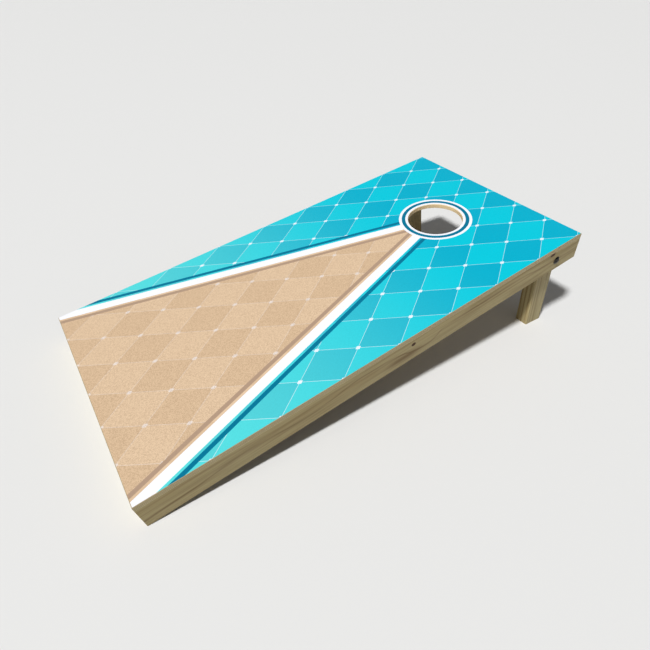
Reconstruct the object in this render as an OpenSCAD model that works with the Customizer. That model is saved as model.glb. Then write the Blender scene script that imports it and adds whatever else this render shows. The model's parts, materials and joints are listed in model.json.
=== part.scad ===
// Cornhole board with folding legs, standing as it does in play.
// +X runs from the foot of the board to its hole end, +Y to the thrower's left, +Z up.
// The origin lies on the ground, under the middle of the board.

/* [Deck] */
// Length of the deck, from the foot end to the hole end
deck_length = 1219.2; // [900:0.1:1500]
// Width of the deck
deck_width = 609.6; // [480:0.1:760]
// Thickness of the plywood
deck_thickness = 12.7; // [9:0.1:19]
// Radius of the eased top edge of the deck
deck_ease = 1.5; // [0.5:0.1:3]
// Diameter of the bag hole
hole_diameter = 152.4; // [120:0.1:190]
// Distance from the hole end to the centre of the bag hole
hole_from_rear = 228.6; // [180:0.1:300]
// Chamfer on both rims of the bag hole
hole_chamfer = 1; // [0.3:0.1:2]
// Thickness of the printed film
film_thickness = 0.3; // [0.1:0.05:0.6]
// Height of the deck's top edge above the ground at the hole end
rear_height = 304.8; // [230:0.1:420]

/* [Frame] */
// Height of the rails and the brace
rail_height = 63.5; // [50:0.1:100]
// Thickness of the rails and the brace
rail_thickness = 19.05; // [16:0.05:25.4]
// Radius of the eased long edges of the rails and the brace
rail_ease = 1; // [0.3:0.1:3]

/* [Legs] */
// Width of a leg, seen from the side of the board
leg_width = 63.5; // [45:0.1:76.2]
// Thickness of a leg, across the board
leg_thickness = 38.1; // [25:0.1:45]
// Radius of the eased long edges of a leg
leg_ease = 3; // [1:0.1:6]
// Distance from the hole end to the pivot bolts
pivot_from_rear = 85; // [80:0.1:140]
// Lean of a leg past square to the deck, towards the hole end
leg_splay = 3; // [0:0.5:8]
// Gap between the head of a leg and the underside of the deck
head_gap = 0.5; // [0.4:0.05:1]
// How far the round at the front of a leg's head stands past half the leg's width
head_swell = 0.15; // [0.05:0.05:0.2]

/* [Pivot bolts] */
// Diameter of a bolt's shank and width of its square neck
bolt_diameter = 9.5; // [7:0.1:12.7]
// Diameter of a bolt's domed head
bolt_head_diameter = 21.4; // [18:0.1:28]
// Height of the domed head
bolt_head_height = 5.3; // [4:0.1:7]
// Height of the straight rim under the dome
bolt_rim_height = 0.8; // [0.4:0.1:1.5]
// Length of the square neck in the rail
neck_length = 6; // [4:0.1:10]
// Length of the bolt past its nut
bolt_overhang = 3; // [1:0.1:8]
// Chamfer on the end of the bolt
bolt_chamfer = 0.8; // [0.3:0.1:1]
// Diameter of the washers
washer_diameter = 25.4; // [20:0.1:32]
// Thickness of the washers
washer_thickness = 2.1; // [1:0.1:4]
// Radial room of a washer on the bolt
washer_room = 0.4; // [0.1:0.05:0.8]
// Radial room of a leg on the bolt
pivot_room = 0.1; // [0.02:0.01:0.3]
// Gap between a leg and the washers on each side of it
side_gap = 0.15; // [0.05:0.05:0.5]

/* [Lock nuts] */
// Wall between the nut's thread and the flats of its hexagon
nut_wall = 2.4; // [2.2:0.1:4]
// Height of the hexagon
nut_hex_height = 7.6; // [6:0.1:10]
// Height of the round collar above the hexagon
nut_collar_height = 4; // [3.4:0.1:6]
// Chamfer on the corners of the hexagon
nut_chamfer = 0.7; // [0.3:0.1:1]
// Wall of the locking ring in the collar
insert_wall = 1.1; // [0.8:0.1:1.4]
// Height of the locking ring
insert_height = 2.4; // [1.6:0.1:2.8]
// Wall of the collar around the locking ring
collar_wall = 0.8; // [0.6:0.1:0.9]
// Radius of the rolled upper edge of the collar
lip_roll = 0.8; // [0.3:0.1:0.8]
// How far the rolled lip reaches over the locking ring
lip_reach = 0.5; // [0.2:0.1:0.7]

/* [Screws] */
// Diameter of a screw's shank
screw_diameter = 4.2; // [3:0.1:5]
// Length of a screw's point
screw_point = 6; // [4:0.1:9]
// Diameter of a deck screw's countersunk head
deck_screw_head = 8.3; // [7:0.1:10]
// Length of a deck screw
deck_screw_length = 31.8; // [25:0.1:40]
// Depth of the deck screws' heads below the face of the deck
deck_screw_sink = 0.4; // [0.2:0.1:0.8]
// Number of deck screws along each side rail
side_screw_count = 6; // [4:2:10]
// Distance of the first and last deck screws from the ends of the side rails
side_screw_margin = 60; // [45:0.1:64]
// Distance of the deck screws in the foot rail, brace and rear rail from the centre line
cross_screw_offset = 120; // [100:0.1:140]
// Diameter of a pocket screw's flat head
pocket_screw_head = 8.6; // [7:0.1:9]
// Thickness of a pocket screw's head
pocket_screw_head_height = 2.2; // [1.5:0.1:3]
// Length of a pocket screw under its head
pocket_screw_length = 31.8; // [25:0.1:32]
// Diameter of a pocket
pocket_diameter = 9.5; // [9.2:0.1:10.5]
// Angle between a pocket and the length of its rail
pocket_angle = 15; // [12:0.5:18]
// Distance from the seat of a pocket screw to the joint, along the screw
pocket_seat = 16; // [14:0.1:18]
// Distance of the pocket screws from the top and bottom edges of a rail
pocket_edge = 16; // [12:0.1:20]
// Radial room round screws, necks and locking rings
fit_room = 0.05; // [0.02:0.01:0.15]

/* [Hidden] */
$fn = 96;

LEFT = 1;
RIGHT = -1;
TO_FOOT = -1;
TO_REAR = 1;
HEX_SIDES = 6;
HEX_CORNER = cos(180 / HEX_SIDES);
// Slope of the bevels on the nuts' corners
NUT_BEVEL = 30;
// How far a cut runs past the face it opens
cut_past = 1;

PLY = [0.87, 0.75, 0.54];
PRINT = [0.10, 0.74, 0.82];
PINE = [0.72, 0.63, 0.45];
DARK_STEEL = [0.16, 0.15, 0.14];
ZINC = [0.72, 0.73, 0.75];
NYLON = [0.20, 0.35, 0.62];

// Places along the board, measured from its foot end
hole_x = deck_length - hole_from_rear;
foot_rail_x = rail_thickness / 2;
brace_x = deck_length / 2;
rear_rail_x = deck_length - rail_thickness / 2;

// Places across the board, measured from its centre line
side_rail_y = (deck_width - rail_thickness) / 2;
inner_width = deck_width - 2 * rail_thickness;

// Board standing on the lower edge of its foot end and on its legs
board_height = rail_height + deck_thickness;
tilt = asin(rear_height / norm([deck_length, board_height])) - atan2(board_height, deck_length);
leg_lean = tilt + leg_splay;

// Side view of the board: [along the board, up from the bottom of the rails]
pivot = [deck_length - pivot_from_rear, rail_height - leg_width / 2 - head_gap];
leg_down = [sin(leg_splay), -cos(leg_splay)];
leg_rearward = [cos(leg_splay), sin(leg_splay)];

function ground_height(p) = p[0] * sin(tilt) + p[1] * cos(tilt);
function ground_reach(p) = p[0] * cos(tilt) - p[1] * sin(tilt);
function down_to_ground(p) = p + leg_down * ground_height(p) / cos(leg_lean);

leg_rear_face = pivot + leg_rearward * leg_width / 2;
leg_front_face = pivot - leg_rearward * leg_width / 2;
leg_heel = down_to_ground(leg_rear_face);
leg_toe = down_to_ground(leg_front_face);
leg_reach = norm(leg_heel - leg_rear_face);
head_radius = leg_width / 2 + head_swell;

// Middle of the standing board, between its foot edge and the rearmost of rail and heel
foot_reach = ground_reach([deck_ease, board_height - deck_ease]) - deck_ease;
rear_reach = max(ground_reach(leg_heel), ground_reach([deck_length, 0]));
middle_x = (foot_reach + rear_reach) / 2;

// Depths along a pivot bolt, from the outer face of the rail inwards
leg_face = rail_thickness + washer_thickness + side_gap;
leg_inner_face = leg_face + leg_thickness;
nut_washer_face = leg_inner_face + side_gap;
nut_face = nut_washer_face + washer_thickness;
nut_height = nut_hex_height + nut_collar_height;
bolt_length = nut_face + nut_height + bolt_overhang;
leg_y = deck_width / 2 - leg_face - leg_thickness / 2;

// Rings of the lock nut
nut_flats = bolt_diameter + 2 * nut_wall;
nut_corners = nut_flats / HEX_CORNER;
insert_bore = bolt_diameter + 2 * fit_room;
insert_diameter = insert_bore + 2 * insert_wall;
collar_diameter = insert_diameter + 2 * (fit_room + collar_wall);
collar_lip = (nut_collar_height - insert_height) / 2;
lip_opening = insert_diameter - 2 * lip_reach;

// Screw places on the board
side_screw_step = (deck_length - 2 * side_screw_margin) / (side_screw_count - 1);
side_screw_places = [
    for (i = [0 : side_screw_count - 1]) [side_screw_margin + i * side_screw_step, side_rail_y]
];
cross_screw_ys = [-cross_screw_offset, cross_screw_offset];
pocket_heights = [pocket_edge, rail_height - pocket_edge];
pocket_run = (rail_thickness + pocket_diameter) / sin(pocket_angle);

// Sets what is drawn on a level board down in its standing place
module on_board() {
    translate([-middle_x, 0, 0])
        rotate([0, -tilt, 0])
            children();
}

// Turns what is drawn for the left side to the side asked for
module on_side(side) {
    if (side == LEFT)
        children();
    else
        mirror([0, 1, 0])
            children();
}

// Rectangle with four round corners
module eased_section(width, height, ease) {
    square([width - 2 * ease, height], center = true);
    square([width, height - 2 * ease], center = true);
    for (x = [-1, 1], y = [-1, 1])
        translate([x * (width / 2 - ease), y * (height / 2 - ease)])
            circle(ease);
}

// Rectangle standing on its long side, with round upper corners
module crowned_section(width, height, ease) {
    square([width, height - ease]);
    translate([ease, 0])
        square([width - 2 * ease, height]);
    for (x = [ease, width - ease])
        translate([x, height - ease])
            circle(ease);
}

// Rail along +X on the centre line, standing on the ground plane of the level board
module rail_bar(length) {
    rotate([90, 0, 90])
        linear_extrude(length)
            translate([0, rail_height / 2])
                eased_section(rail_thickness, rail_height, rail_ease);
}

// Rail across the board, between the side rails
module cross_bar(x) {
    translate([x, -inner_width / 2, 0])
        rotate([0, 0, 90])
            rail_bar(inner_width);
}

// Deck screw pointing down from the middle of its head, grown by the room around it
module deck_screw_form(room) {
    shank = screw_diameter / 2 + room;
    head = deck_screw_head / 2 + room;
    rotate_extrude()
        polygon([
            [0, 0],
            [head, 0],
            [shank, shank - head],
            [shank, screw_point - deck_screw_length],
            [0, -deck_screw_length - room]
        ]);
}

module deck_screw_cut() {
    deck_screw_form(fit_room);
    cylinder(d = deck_screw_head + 2 * fit_room, h = deck_screw_sink + cut_past);
}

// Pocket screw pointing down from its seat, with its head above the seat
module pocket_screw() {
    shank = screw_diameter / 2;
    head = pocket_screw_head / 2;
    rotate_extrude()
        polygon([
            [0, pocket_screw_head_height],
            [head, pocket_screw_head_height],
            [head, 0],
            [shank, 0],
            [shank, screw_point - pocket_screw_length],
            [0, -pocket_screw_length]
        ]);
}

module pocket_cut() {
    cylinder(d = pocket_diameter, h = pocket_run);
    translate([0, 0, -pocket_screw_length - fit_room])
        cylinder(d = screw_diameter + 2 * fit_room, h = pocket_screw_length + cut_past);
}

// Seats of the deck screws at a list of places on the deck
module at_deck_screws(places) {
    for (place = places)
        translate([place[0], place[1], board_height - deck_screw_sink])
            children();
}

// Seats of the pocket screws at the left end of a cross rail, opening to its foot or rear face
module at_left_pockets(x, opens) {
    for (z = pocket_heights)
        translate([x, inner_width / 2, z])
            rotate([90, 0, opens * pocket_angle])
                translate([0, 0, pocket_seat])
                    children();
}

module at_pockets(x, opens) {
    for (side = [LEFT, RIGHT])
        on_side(side)
            at_left_pockets(x, opens)
                children();
}

// Left pivot: drawn from the outer face of the rail inwards along +Z
module at_left_pivot() {
    translate([pivot[0], deck_width / 2, pivot[1]])
        rotate([90, 0, 0])
            children();
}

module at_pivot(side) {
    on_board()
        on_side(side)
            at_left_pivot()
                children();
}

// Plywood blank, eased along its four top edges
module deck_blank() {
    intersection() {
        translate([0, deck_width / 2, 0])
            rotate([90, 0, 0])
                linear_extrude(deck_width)
                    crowned_section(deck_length, deck_thickness, deck_ease);
        translate([0, -deck_width / 2, 0])
            rotate([90, 0, 90])
                linear_extrude(deck_length)
                    crowned_section(deck_width, deck_thickness, deck_ease);
    }
}

// Bag hole through a level deck whose underside is at zero
module bag_hole_cut() {
    rim = hole_diameter + 2 * hole_chamfer;
    flare = 2 * cut_past;
    translate([0, 0, -cut_past])
        cylinder(d = hole_diameter, h = deck_thickness + 2 * cut_past);
    translate([0, 0, deck_thickness - hole_chamfer])
        cylinder(d1 = hole_diameter, d2 = rim + flare, h = hole_chamfer + cut_past);
    translate([0, 0, -cut_past])
        cylinder(d1 = rim + flare, d2 = hole_diameter, h = hole_chamfer + cut_past);
}

module deck() {
    color(PLY)
        on_board()
            difference() {
                translate([0, 0, rail_height])
                    deck_blank();
                translate([hole_x, 0, rail_height])
                    bag_hole_cut();
                for (side = [LEFT, RIGHT])
                    on_side(side)
                        at_deck_screws(side_screw_places)
                            deck_screw_cut();
                for (x = [foot_rail_x, brace_x, rear_rail_x])
                    at_deck_screws([for (y = cross_screw_ys) [x, y]])
                        deck_screw_cut();
            }
}

module deck_film() {
    color(PRINT)
        on_board()
            translate([0, 0, board_height])
                linear_extrude(film_thickness)
                    difference() {
                        translate([deck_ease, deck_ease - deck_width / 2])
                            square([deck_length - 2 * deck_ease, deck_width - 2 * deck_ease]);
                        translate([hole_x, 0])
                            circle(d = hole_diameter + 2 * hole_chamfer);
                    }
}

module side_rail(side) {
    color(PINE)
        on_board()
            on_side(side)
                difference() {
                    translate([0, side_rail_y, 0])
                        rail_bar(deck_length);
                    at_deck_screws(side_screw_places)
                        deck_screw_cut();
                    at_left_pockets(foot_rail_x, TO_REAR)
                        pocket_cut();
                    at_left_pockets(brace_x, TO_FOOT)
                        pocket_cut();
                    at_left_pockets(rear_rail_x, TO_FOOT)
                        pocket_cut();
                    at_left_pivot()
                        bolt_cut();
                }
}

module cross_rail(x, opens) {
    color(PINE)
        on_board()
            difference() {
                cross_bar(x);
                at_deck_screws([for (y = cross_screw_ys) [x, y]])
                    deck_screw_cut();
                at_pockets(x, opens)
                    pocket_cut();
            }
}

// Timber that a leg is sawn from, longer than the leg at both ends, along the lean of the leg
module leg_timber() {
    translate([pivot[0], 0, pivot[1]])
        rotate([0, -leg_splay, 0])
            translate([0, 0, -leg_reach - leg_width])
                linear_extrude(leg_reach + 2 * leg_width)
                    eased_section(leg_width, leg_thickness, leg_ease);
}

// Side view of the waste at the head: round at the front so that the leg can swing, and level
// with the deck at the back so that the square corner left there stops the leg
module head_waste() {
    translate(pivot + [-leg_width, leg_width / 2])
        square([2 * leg_width, leg_width]);
    difference() {
        translate(pivot - [leg_width, 0])
            square(leg_width);
        translate(pivot)
            circle(head_radius);
    }
}

// Side view of the waste below the foot, which is level with the ground
module foot_waste() {
    translate(leg_toe)
        rotate(-tilt)
            translate([-leg_width, -2 * leg_width])
                square([3 * leg_width, 2 * leg_width]);
}

module leg(side) {
    color(PINE)
        on_board()
            on_side(side)
                translate([0, leg_y, 0])
                    difference() {
                        leg_timber();
                        rotate([90, 0, 0])
                            linear_extrude(leg_thickness + 2 * cut_past, center = true) {
                                head_waste();
                                foot_waste();
                            }
                        translate([pivot[0], 0, pivot[1]])
                            rotate([90, 0, 0])
                                cylinder(
                                    d = bolt_diameter + 2 * pivot_room,
                                    h = leg_thickness + 2 * cut_past,
                                    center = true
                                );
                    }
}

// Square hole for a bolt's neck and round hole for its shank, from the rail's outer face inwards
module bolt_cut() {
    neck = bolt_diameter + 2 * fit_room;
    translate([-neck / 2, -neck / 2, -cut_past])
        cube([neck, neck, neck_length + cut_past + fit_room]);
    cylinder(d = neck, h = rail_thickness + cut_past);
}

// Domed head over a straight rim, standing out from the rail's outer face
module bolt_head() {
    radius = bolt_head_diameter / 2;
    dome = bolt_head_height - bolt_rim_height;
    crown_radius = (radius * radius + dome * dome) / (2 * dome);
    rotate_extrude()
        intersection() {
            translate([0, crown_radius - bolt_head_height])
                circle(crown_radius);
            translate([0, -bolt_head_height])
                square([radius, bolt_head_height]);
        }
}

module pivot_bolt(side) {
    color(DARK_STEEL)
        at_pivot(side) {
            bolt_head();
            translate([-bolt_diameter / 2, -bolt_diameter / 2, 0])
                cube([bolt_diameter, bolt_diameter, neck_length]);
            cylinder(d = bolt_diameter, h = bolt_length - bolt_chamfer);
            translate([0, 0, bolt_length - bolt_chamfer])
                cylinder(
                    d1 = bolt_diameter,
                    d2 = bolt_diameter - 2 * bolt_chamfer,
                    h = bolt_chamfer
                );
        }
}

module washer(side, depth) {
    color(ZINC)
        at_pivot(side)
            translate([0, 0, depth])
                difference() {
                    cylinder(d = washer_diameter, h = washer_thickness);
                    translate([0, 0, -cut_past])
                        cylinder(
                            d = bolt_diameter + 2 * washer_room,
                            h = washer_thickness + 2 * cut_past
                        );
                }
}

// Hexagon with its corners chamfered at the washer and sloped to the collar above
module nut_hexagon() {
    corner = nut_corners / 2;
    slope = (nut_corners - collar_diameter) / 2 * tan(NUT_BEVEL);
    intersection() {
        cylinder(d = nut_corners, h = nut_hex_height, $fn = HEX_SIDES);
        rotate_extrude()
            polygon([
                [0, 0],
                [corner - nut_chamfer, 0],
                [corner, nut_chamfer * tan(NUT_BEVEL)],
                [corner, nut_hex_height - slope],
                [collar_diameter / 2, nut_hex_height],
                [0, nut_hex_height]
            ]);
    }
}

// Collar whose upper edge is rolled in over the locking ring
module nut_collar() {
    radius = collar_diameter / 2;
    rotate_extrude() {
        square([radius, nut_height - lip_roll]);
        square([radius - lip_roll, nut_height]);
        translate([radius - lip_roll, nut_height - lip_roll])
            circle(lip_roll);
    }
}

module lock_nut(side) {
    color(ZINC)
        at_pivot(side)
            translate([0, 0, nut_face])
                difference() {
                    union() {
                        nut_hexagon();
                        nut_collar();
                    }
                    translate([0, 0, -cut_past])
                        cylinder(d = bolt_diameter + 2 * fit_room, h = nut_height + 2 * cut_past);
                    translate([0, 0, nut_hex_height + collar_lip - fit_room])
                        cylinder(
                            d = insert_diameter + 2 * fit_room,
                            h = insert_height + 2 * fit_room
                        );
                    translate([0, 0, nut_height - collar_lip])
                        cylinder(d = lip_opening, h = collar_lip + cut_past);
                }
}

module nylon_insert(side) {
    color(NYLON)
        at_pivot(side)
            translate([0, 0, nut_face + nut_hex_height + collar_lip])
                difference() {
                    cylinder(d = insert_diameter, h = insert_height);
                    translate([0, 0, -cut_past])
                        cylinder(d = insert_bore, h = insert_height + 2 * cut_past);
                }
}

module deck_screws() {
    color(ZINC)
        on_board() {
            for (side = [LEFT, RIGHT])
                on_side(side)
                    at_deck_screws(side_screw_places)
                        deck_screw_form(0);
            for (x = [foot_rail_x, brace_x, rear_rail_x])
                at_deck_screws([for (y = cross_screw_ys) [x, y]])
                    deck_screw_form(0);
        }
}

module frame_pocket_screws() {
    color(ZINC)
        on_board() {
            at_pockets(foot_rail_x, TO_REAR)
                pocket_screw();
            at_pockets(rear_rail_x, TO_FOOT)
                pocket_screw();
        }
}

module brace_pocket_screws() {
    color(ZINC)
        on_board()
            at_pockets(brace_x, TO_FOOT)
                pocket_screw();
}

deck();
deck_film();
side_rail(LEFT);  // left_side_rail
side_rail(RIGHT);  // right_side_rail
cross_rail(foot_rail_x, TO_REAR);  // foot_rail
cross_rail(rear_rail_x, TO_FOOT);  // rear_rail
cross_rail(brace_x, TO_FOOT);  // centre_brace
leg(LEFT);  // left_leg
leg(RIGHT);  // right_leg
pivot_bolt(LEFT);  // left_pivot_bolt
pivot_bolt(RIGHT);  // right_pivot_bolt
washer(LEFT, rail_thickness);  // left_spacer_washer
washer(RIGHT, rail_thickness);  // right_spacer_washer
washer(LEFT, nut_washer_face);  // left_nut_washer
washer(RIGHT, nut_washer_face);  // right_nut_washer
lock_nut(LEFT);  // left_lock_nut
lock_nut(RIGHT);  // right_lock_nut
nylon_insert(LEFT);  // left_nylon_insert
nylon_insert(RIGHT);  // right_nylon_insert
deck_screws();
frame_pocket_screws();
brace_pocket_screws();
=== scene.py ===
"""Looks of a cornhole board with folding legs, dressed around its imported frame.

Lengths are metres. Places on the board are given on the level board: along it from the foot end to the
hole end, across it to the thrower's left, and up from the lower edges of its rails.
"""

import json
import logging
import math
from abc import ABC, abstractmethod
from collections.abc import Callable, Iterable, Sequence
from dataclasses import asdict, dataclass, field, fields
from enum import Enum
from functools import cached_property, partial
from typing import ClassVar, TypeAlias

import bmesh
import bpy
import numpy as np
from mathutils import Color, Matrix, Quaternion, Vector


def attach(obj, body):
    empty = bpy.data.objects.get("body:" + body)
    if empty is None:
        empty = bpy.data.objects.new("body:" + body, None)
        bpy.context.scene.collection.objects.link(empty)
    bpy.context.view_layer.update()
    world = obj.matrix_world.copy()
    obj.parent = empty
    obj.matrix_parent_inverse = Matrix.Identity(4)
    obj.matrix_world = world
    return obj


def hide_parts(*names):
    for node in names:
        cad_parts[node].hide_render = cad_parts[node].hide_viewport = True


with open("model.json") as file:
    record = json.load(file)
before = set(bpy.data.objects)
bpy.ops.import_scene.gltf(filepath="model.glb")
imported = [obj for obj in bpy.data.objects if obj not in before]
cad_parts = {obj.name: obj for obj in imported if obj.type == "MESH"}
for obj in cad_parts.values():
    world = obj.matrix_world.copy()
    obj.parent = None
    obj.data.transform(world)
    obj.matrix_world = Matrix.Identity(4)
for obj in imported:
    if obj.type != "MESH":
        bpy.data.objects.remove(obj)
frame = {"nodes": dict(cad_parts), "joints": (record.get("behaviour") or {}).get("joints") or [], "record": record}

LOG = logging.getLogger("cornhole_board")
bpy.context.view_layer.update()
MILLIMETRE = 0.001
QUARTER_TURN = math.tau / 4
# The turn from one side of a hexagon to the next
HEXAGON_TURN = math.tau / 6
# The highest level of a display colour
FULL_LEVEL = 255
# How much dry wood and satin film mirror
SATIN = 0.35
# Corners nearer than this are one corner
WELD = 1e-6
# Faces that meet more sharply than this, in degrees, have an edge between them
CREASE = 35.0
# Faces that meet less sharply than this, in degrees, are one face
FLAT = 0.1
# Steps in a broken edge of a timber, and in a rounded edge of a washer
SANDING_STEPS = 2
ROUNDING_STEPS = 3

Socket = bpy.types.NodeSocket
Colour = tuple[float, float, float, float]
Tones = tuple[tuple[float, Colour], ...]
Feed: TypeAlias = "Number | Socket | float | Sequence[float]"
Size: TypeAlias = "Number | float"
Outline = Callable[[float], float]
Ring = tuple[float, Outline]


def srgb(red: int, green: int, blue: int) -> Colour:
    """The linear colour of a display colour."""
    display = Color((red / FULL_LEVEL, green / FULL_LEVEL, blue / FULL_LEVEL))
    return (*display.from_srgb_to_scene_linear(), 1.0)


def shares(count: int) -> list[float]:
    """A number of even steps from 0 to 1, both ends included."""
    return [step / count for step in range(count + 1)]


class Axis(Enum):
    """An axis of the level board or of a timber."""

    ALONG = 0
    ACROSS = 1
    UP = 2


class Side(Enum):
    """A side of the board, with its sign across the board."""

    LEFT = 1
    RIGHT = -1

    @property
    def word(self) -> str:
        """The side's name as the frame's nodes spell it."""
        return self.name.lower()


class Body(Enum):
    """What a piece moves with."""

    BOARD = "board"
    LEFT_LEG = "left_folding_leg"
    RIGHT_LEG = "right_folding_leg"


class Slot(Enum):
    """The record's material slots that new pieces take their finish from."""

    PINE = "pine"
    DARK_STEEL = "dark_steel"
    ZINC = "zinc_steel"
    NYLON = "nylon"


@dataclass(frozen=True)
class BoardAxes:
    """The level board inside the standing one.

    Attributes:
        matrix: turns a place on the level board into the row frame.
    """

    matrix: Matrix

    @classmethod
    def read(cls) -> "BoardAxes":
        """Finds the board's axes from its deck's mount and a side rail's corners.

        Returns:
            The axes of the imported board.
        """
        up = Vector(mount("deck_top")["axis"]).normalized()
        across = Vector((0, 1, 0))
        turn = Matrix((across.cross(up), across, up)).transposed().to_4x4()
        level = [turn.inverted() @ v.co for v in frame["nodes"]["left_side_rail"].data.vertices]
        corner = Vector((min(p.x for p in level), 0, min(p.z for p in level)))
        return cls(turn @ Matrix.Translation(corner))

    @cached_property
    def inverse(self) -> Matrix:
        """Turns a place in the row frame into one on the level board."""
        return self.matrix.inverted()

    def box(self, node: str) -> tuple[Vector, Vector]:
        """The lowest and the highest corner of a CAD node along the board's axes."""
        places = np.array([self.inverse @ v.co for v in frame["nodes"][node].data.vertices])
        return Vector(places.min(0)), Vector(places.max(0))


def mount(name: str) -> dict:
    """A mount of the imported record."""
    return next(m for m in frame["record"]["mounts"] if m["name"] == name)


def pivot_of(side: Side) -> Vector:
    """The middle of a leg's joint, in the row frame."""
    return Vector(next(j["pos_m"] for j in frame["joints"] if j["child"].startswith(side.word)))


BOARD = BoardAxes.read()


@dataclass(frozen=True)
class Ease:
    """A smooth passage of one number while another runs through a range.

    Attributes:
        start: where the range begins.
        end: where it ends.
        at_end: the result there.
        at_start: the result at the start.
    """

    start: float
    end: float
    at_end: float = 1.0
    at_start: float = 0.0


@dataclass(frozen=True)
class Cloud:
    """Smooth noise around one half.

    Attributes:
        scale: waves a metre.
        detail: how many finer layers lie on it.
        stretch: how much closer it lies along each axis.
    """

    scale: float
    detail: float
    stretch: tuple[float, float, float] = (1, 1, 1)


@dataclass(frozen=True)
class Veil:
    """A colour that shows where noise is strong.

    Attributes:
        cloud: the noise.
        share: how much of the colour shows for it.
        colour: the colour.
    """

    cloud: Cloud
    share: Ease
    colour: Colour


@dataclass(frozen=True)
class Relief:
    """A surface's fine relief.

    Attributes:
        depth: how deep a step from 0 to 1 is.
        strength: how much of it shows, 0 to 1.
    """

    depth: float
    strength: float


class Number:
    """A number that a node tree works out, for use in sums."""

    def __init__(self, tree: "Tree", socket: Socket) -> None:
        """Takes the tree and the socket that gives the number."""
        self.tree = tree
        self.socket = socket

    def __add__(self, other: Feed) -> "Number":
        """The sum of two numbers."""
        return self.tree.math("ADD", self, other)

    def __sub__(self, other: Feed) -> "Number":
        """The difference of two numbers."""
        return self.tree.math("SUBTRACT", self, other)

    def __rsub__(self, other: Feed) -> "Number":
        """A plain number less this one."""
        return self.tree.math("SUBTRACT", other, self)

    def __mul__(self, other: Feed) -> "Number":
        """The product of two numbers."""
        return self.tree.math("MULTIPLY", self, other)

    def __truediv__(self, other: Feed) -> "Number":
        """The quotient of two numbers."""
        return self.tree.math("DIVIDE", self, other)

    def __neg__(self) -> "Number":
        """The number with its sign turned."""
        return self * -1.0

    def __abs__(self) -> "Number":
        """The number without its sign."""
        return self.tree.math("ABSOLUTE", self)

    def __lt__(self, other: Feed) -> "Number":
        """1 where this number is the smaller one, 0 elsewhere."""
        return self.tree.math("LESS_THAN", self, other)

    def __gt__(self, other: Feed) -> "Number":
        """1 where this number is the greater one, 0 elsewhere."""
        return self.tree.math("GREATER_THAN", self, other)


class Tree:
    """A node tree that is built a node at a time."""

    def __init__(self, tree: bpy.types.NodeTree) -> None:
        """Takes the tree to build in."""
        self.tree = tree

    def add(
        self, kind: str, inputs: dict[str | int, Feed] | None = None, **settings: object
    ) -> bpy.types.Node:
        """Adds a node.

        Args:
            kind: the node's type.
            inputs: what feeds its inputs, by name or number.
            settings: the node's own properties.
        Returns:
            The node.
        """
        node = self.tree.nodes.new(kind)
        for name, value in settings.items():
            setattr(node, name, value)
        for key, value in (inputs or {}).items():
            self.feed(node.inputs[key], value)
        return node

    def feed(self, socket: Socket, value: Feed) -> None:
        """Links a socket to another, or sets its value.

        Args:
            socket: the input to feed.
            value: a number of the tree, an output socket or a plain value.
        """
        source = value.socket if isinstance(value, Number) else value
        if isinstance(source, bpy.types.NodeSocket):
            self.tree.links.new(source, socket)
        else:
            socket.default_value = source

    def math(self, operation: str, *values: Feed) -> Number:
        """Works out a number from others."""
        node = self.add("ShaderNodeMath", dict(enumerate(values)), operation=operation)
        return Number(self, node.outputs["Value"])

    def vector(self, operation: str, *values: Feed) -> Socket:
        """Works out a vector from others."""
        node = self.add("ShaderNodeVectorMath", dict(enumerate(values)), operation=operation)
        return node.outputs["Vector"]

    def length(self, *numbers: Feed) -> Number:
        """The length of the vector that some numbers make."""
        node = self.add("ShaderNodeVectorMath", {0: self.combine(*numbers)}, operation="LENGTH")
        return Number(self, node.outputs["Value"])

    def combine(self, x: Feed = 0.0, y: Feed = 0.0, z: Feed = 0.0) -> Socket:
        """A vector of three numbers."""
        return self.add("ShaderNodeCombineXYZ", {"X": x, "Y": y, "Z": z}).outputs["Vector"]

    def separate(self, vector: Socket) -> tuple[Number, Number, Number]:
        """The three numbers of a vector."""
        node = self.add("ShaderNodeSeparateXYZ", {"Vector": vector})
        return tuple(Number(self, socket) for socket in node.outputs)

    def ease(self, value: Feed, ease: Ease) -> Number:
        """Passes a number from one range to another.

        Args:
            value: the number.
            ease: the passage.
        Returns:
            The eased number.
        """
        source = {"Value": value, "From Min": ease.start, "From Max": ease.end}
        target = {"To Min": ease.at_start, "To Max": ease.at_end}
        node = self.add("ShaderNodeMapRange", source | target, interpolation_type="SMOOTHSTEP")
        return Number(self, node.outputs["Result"])


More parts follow.
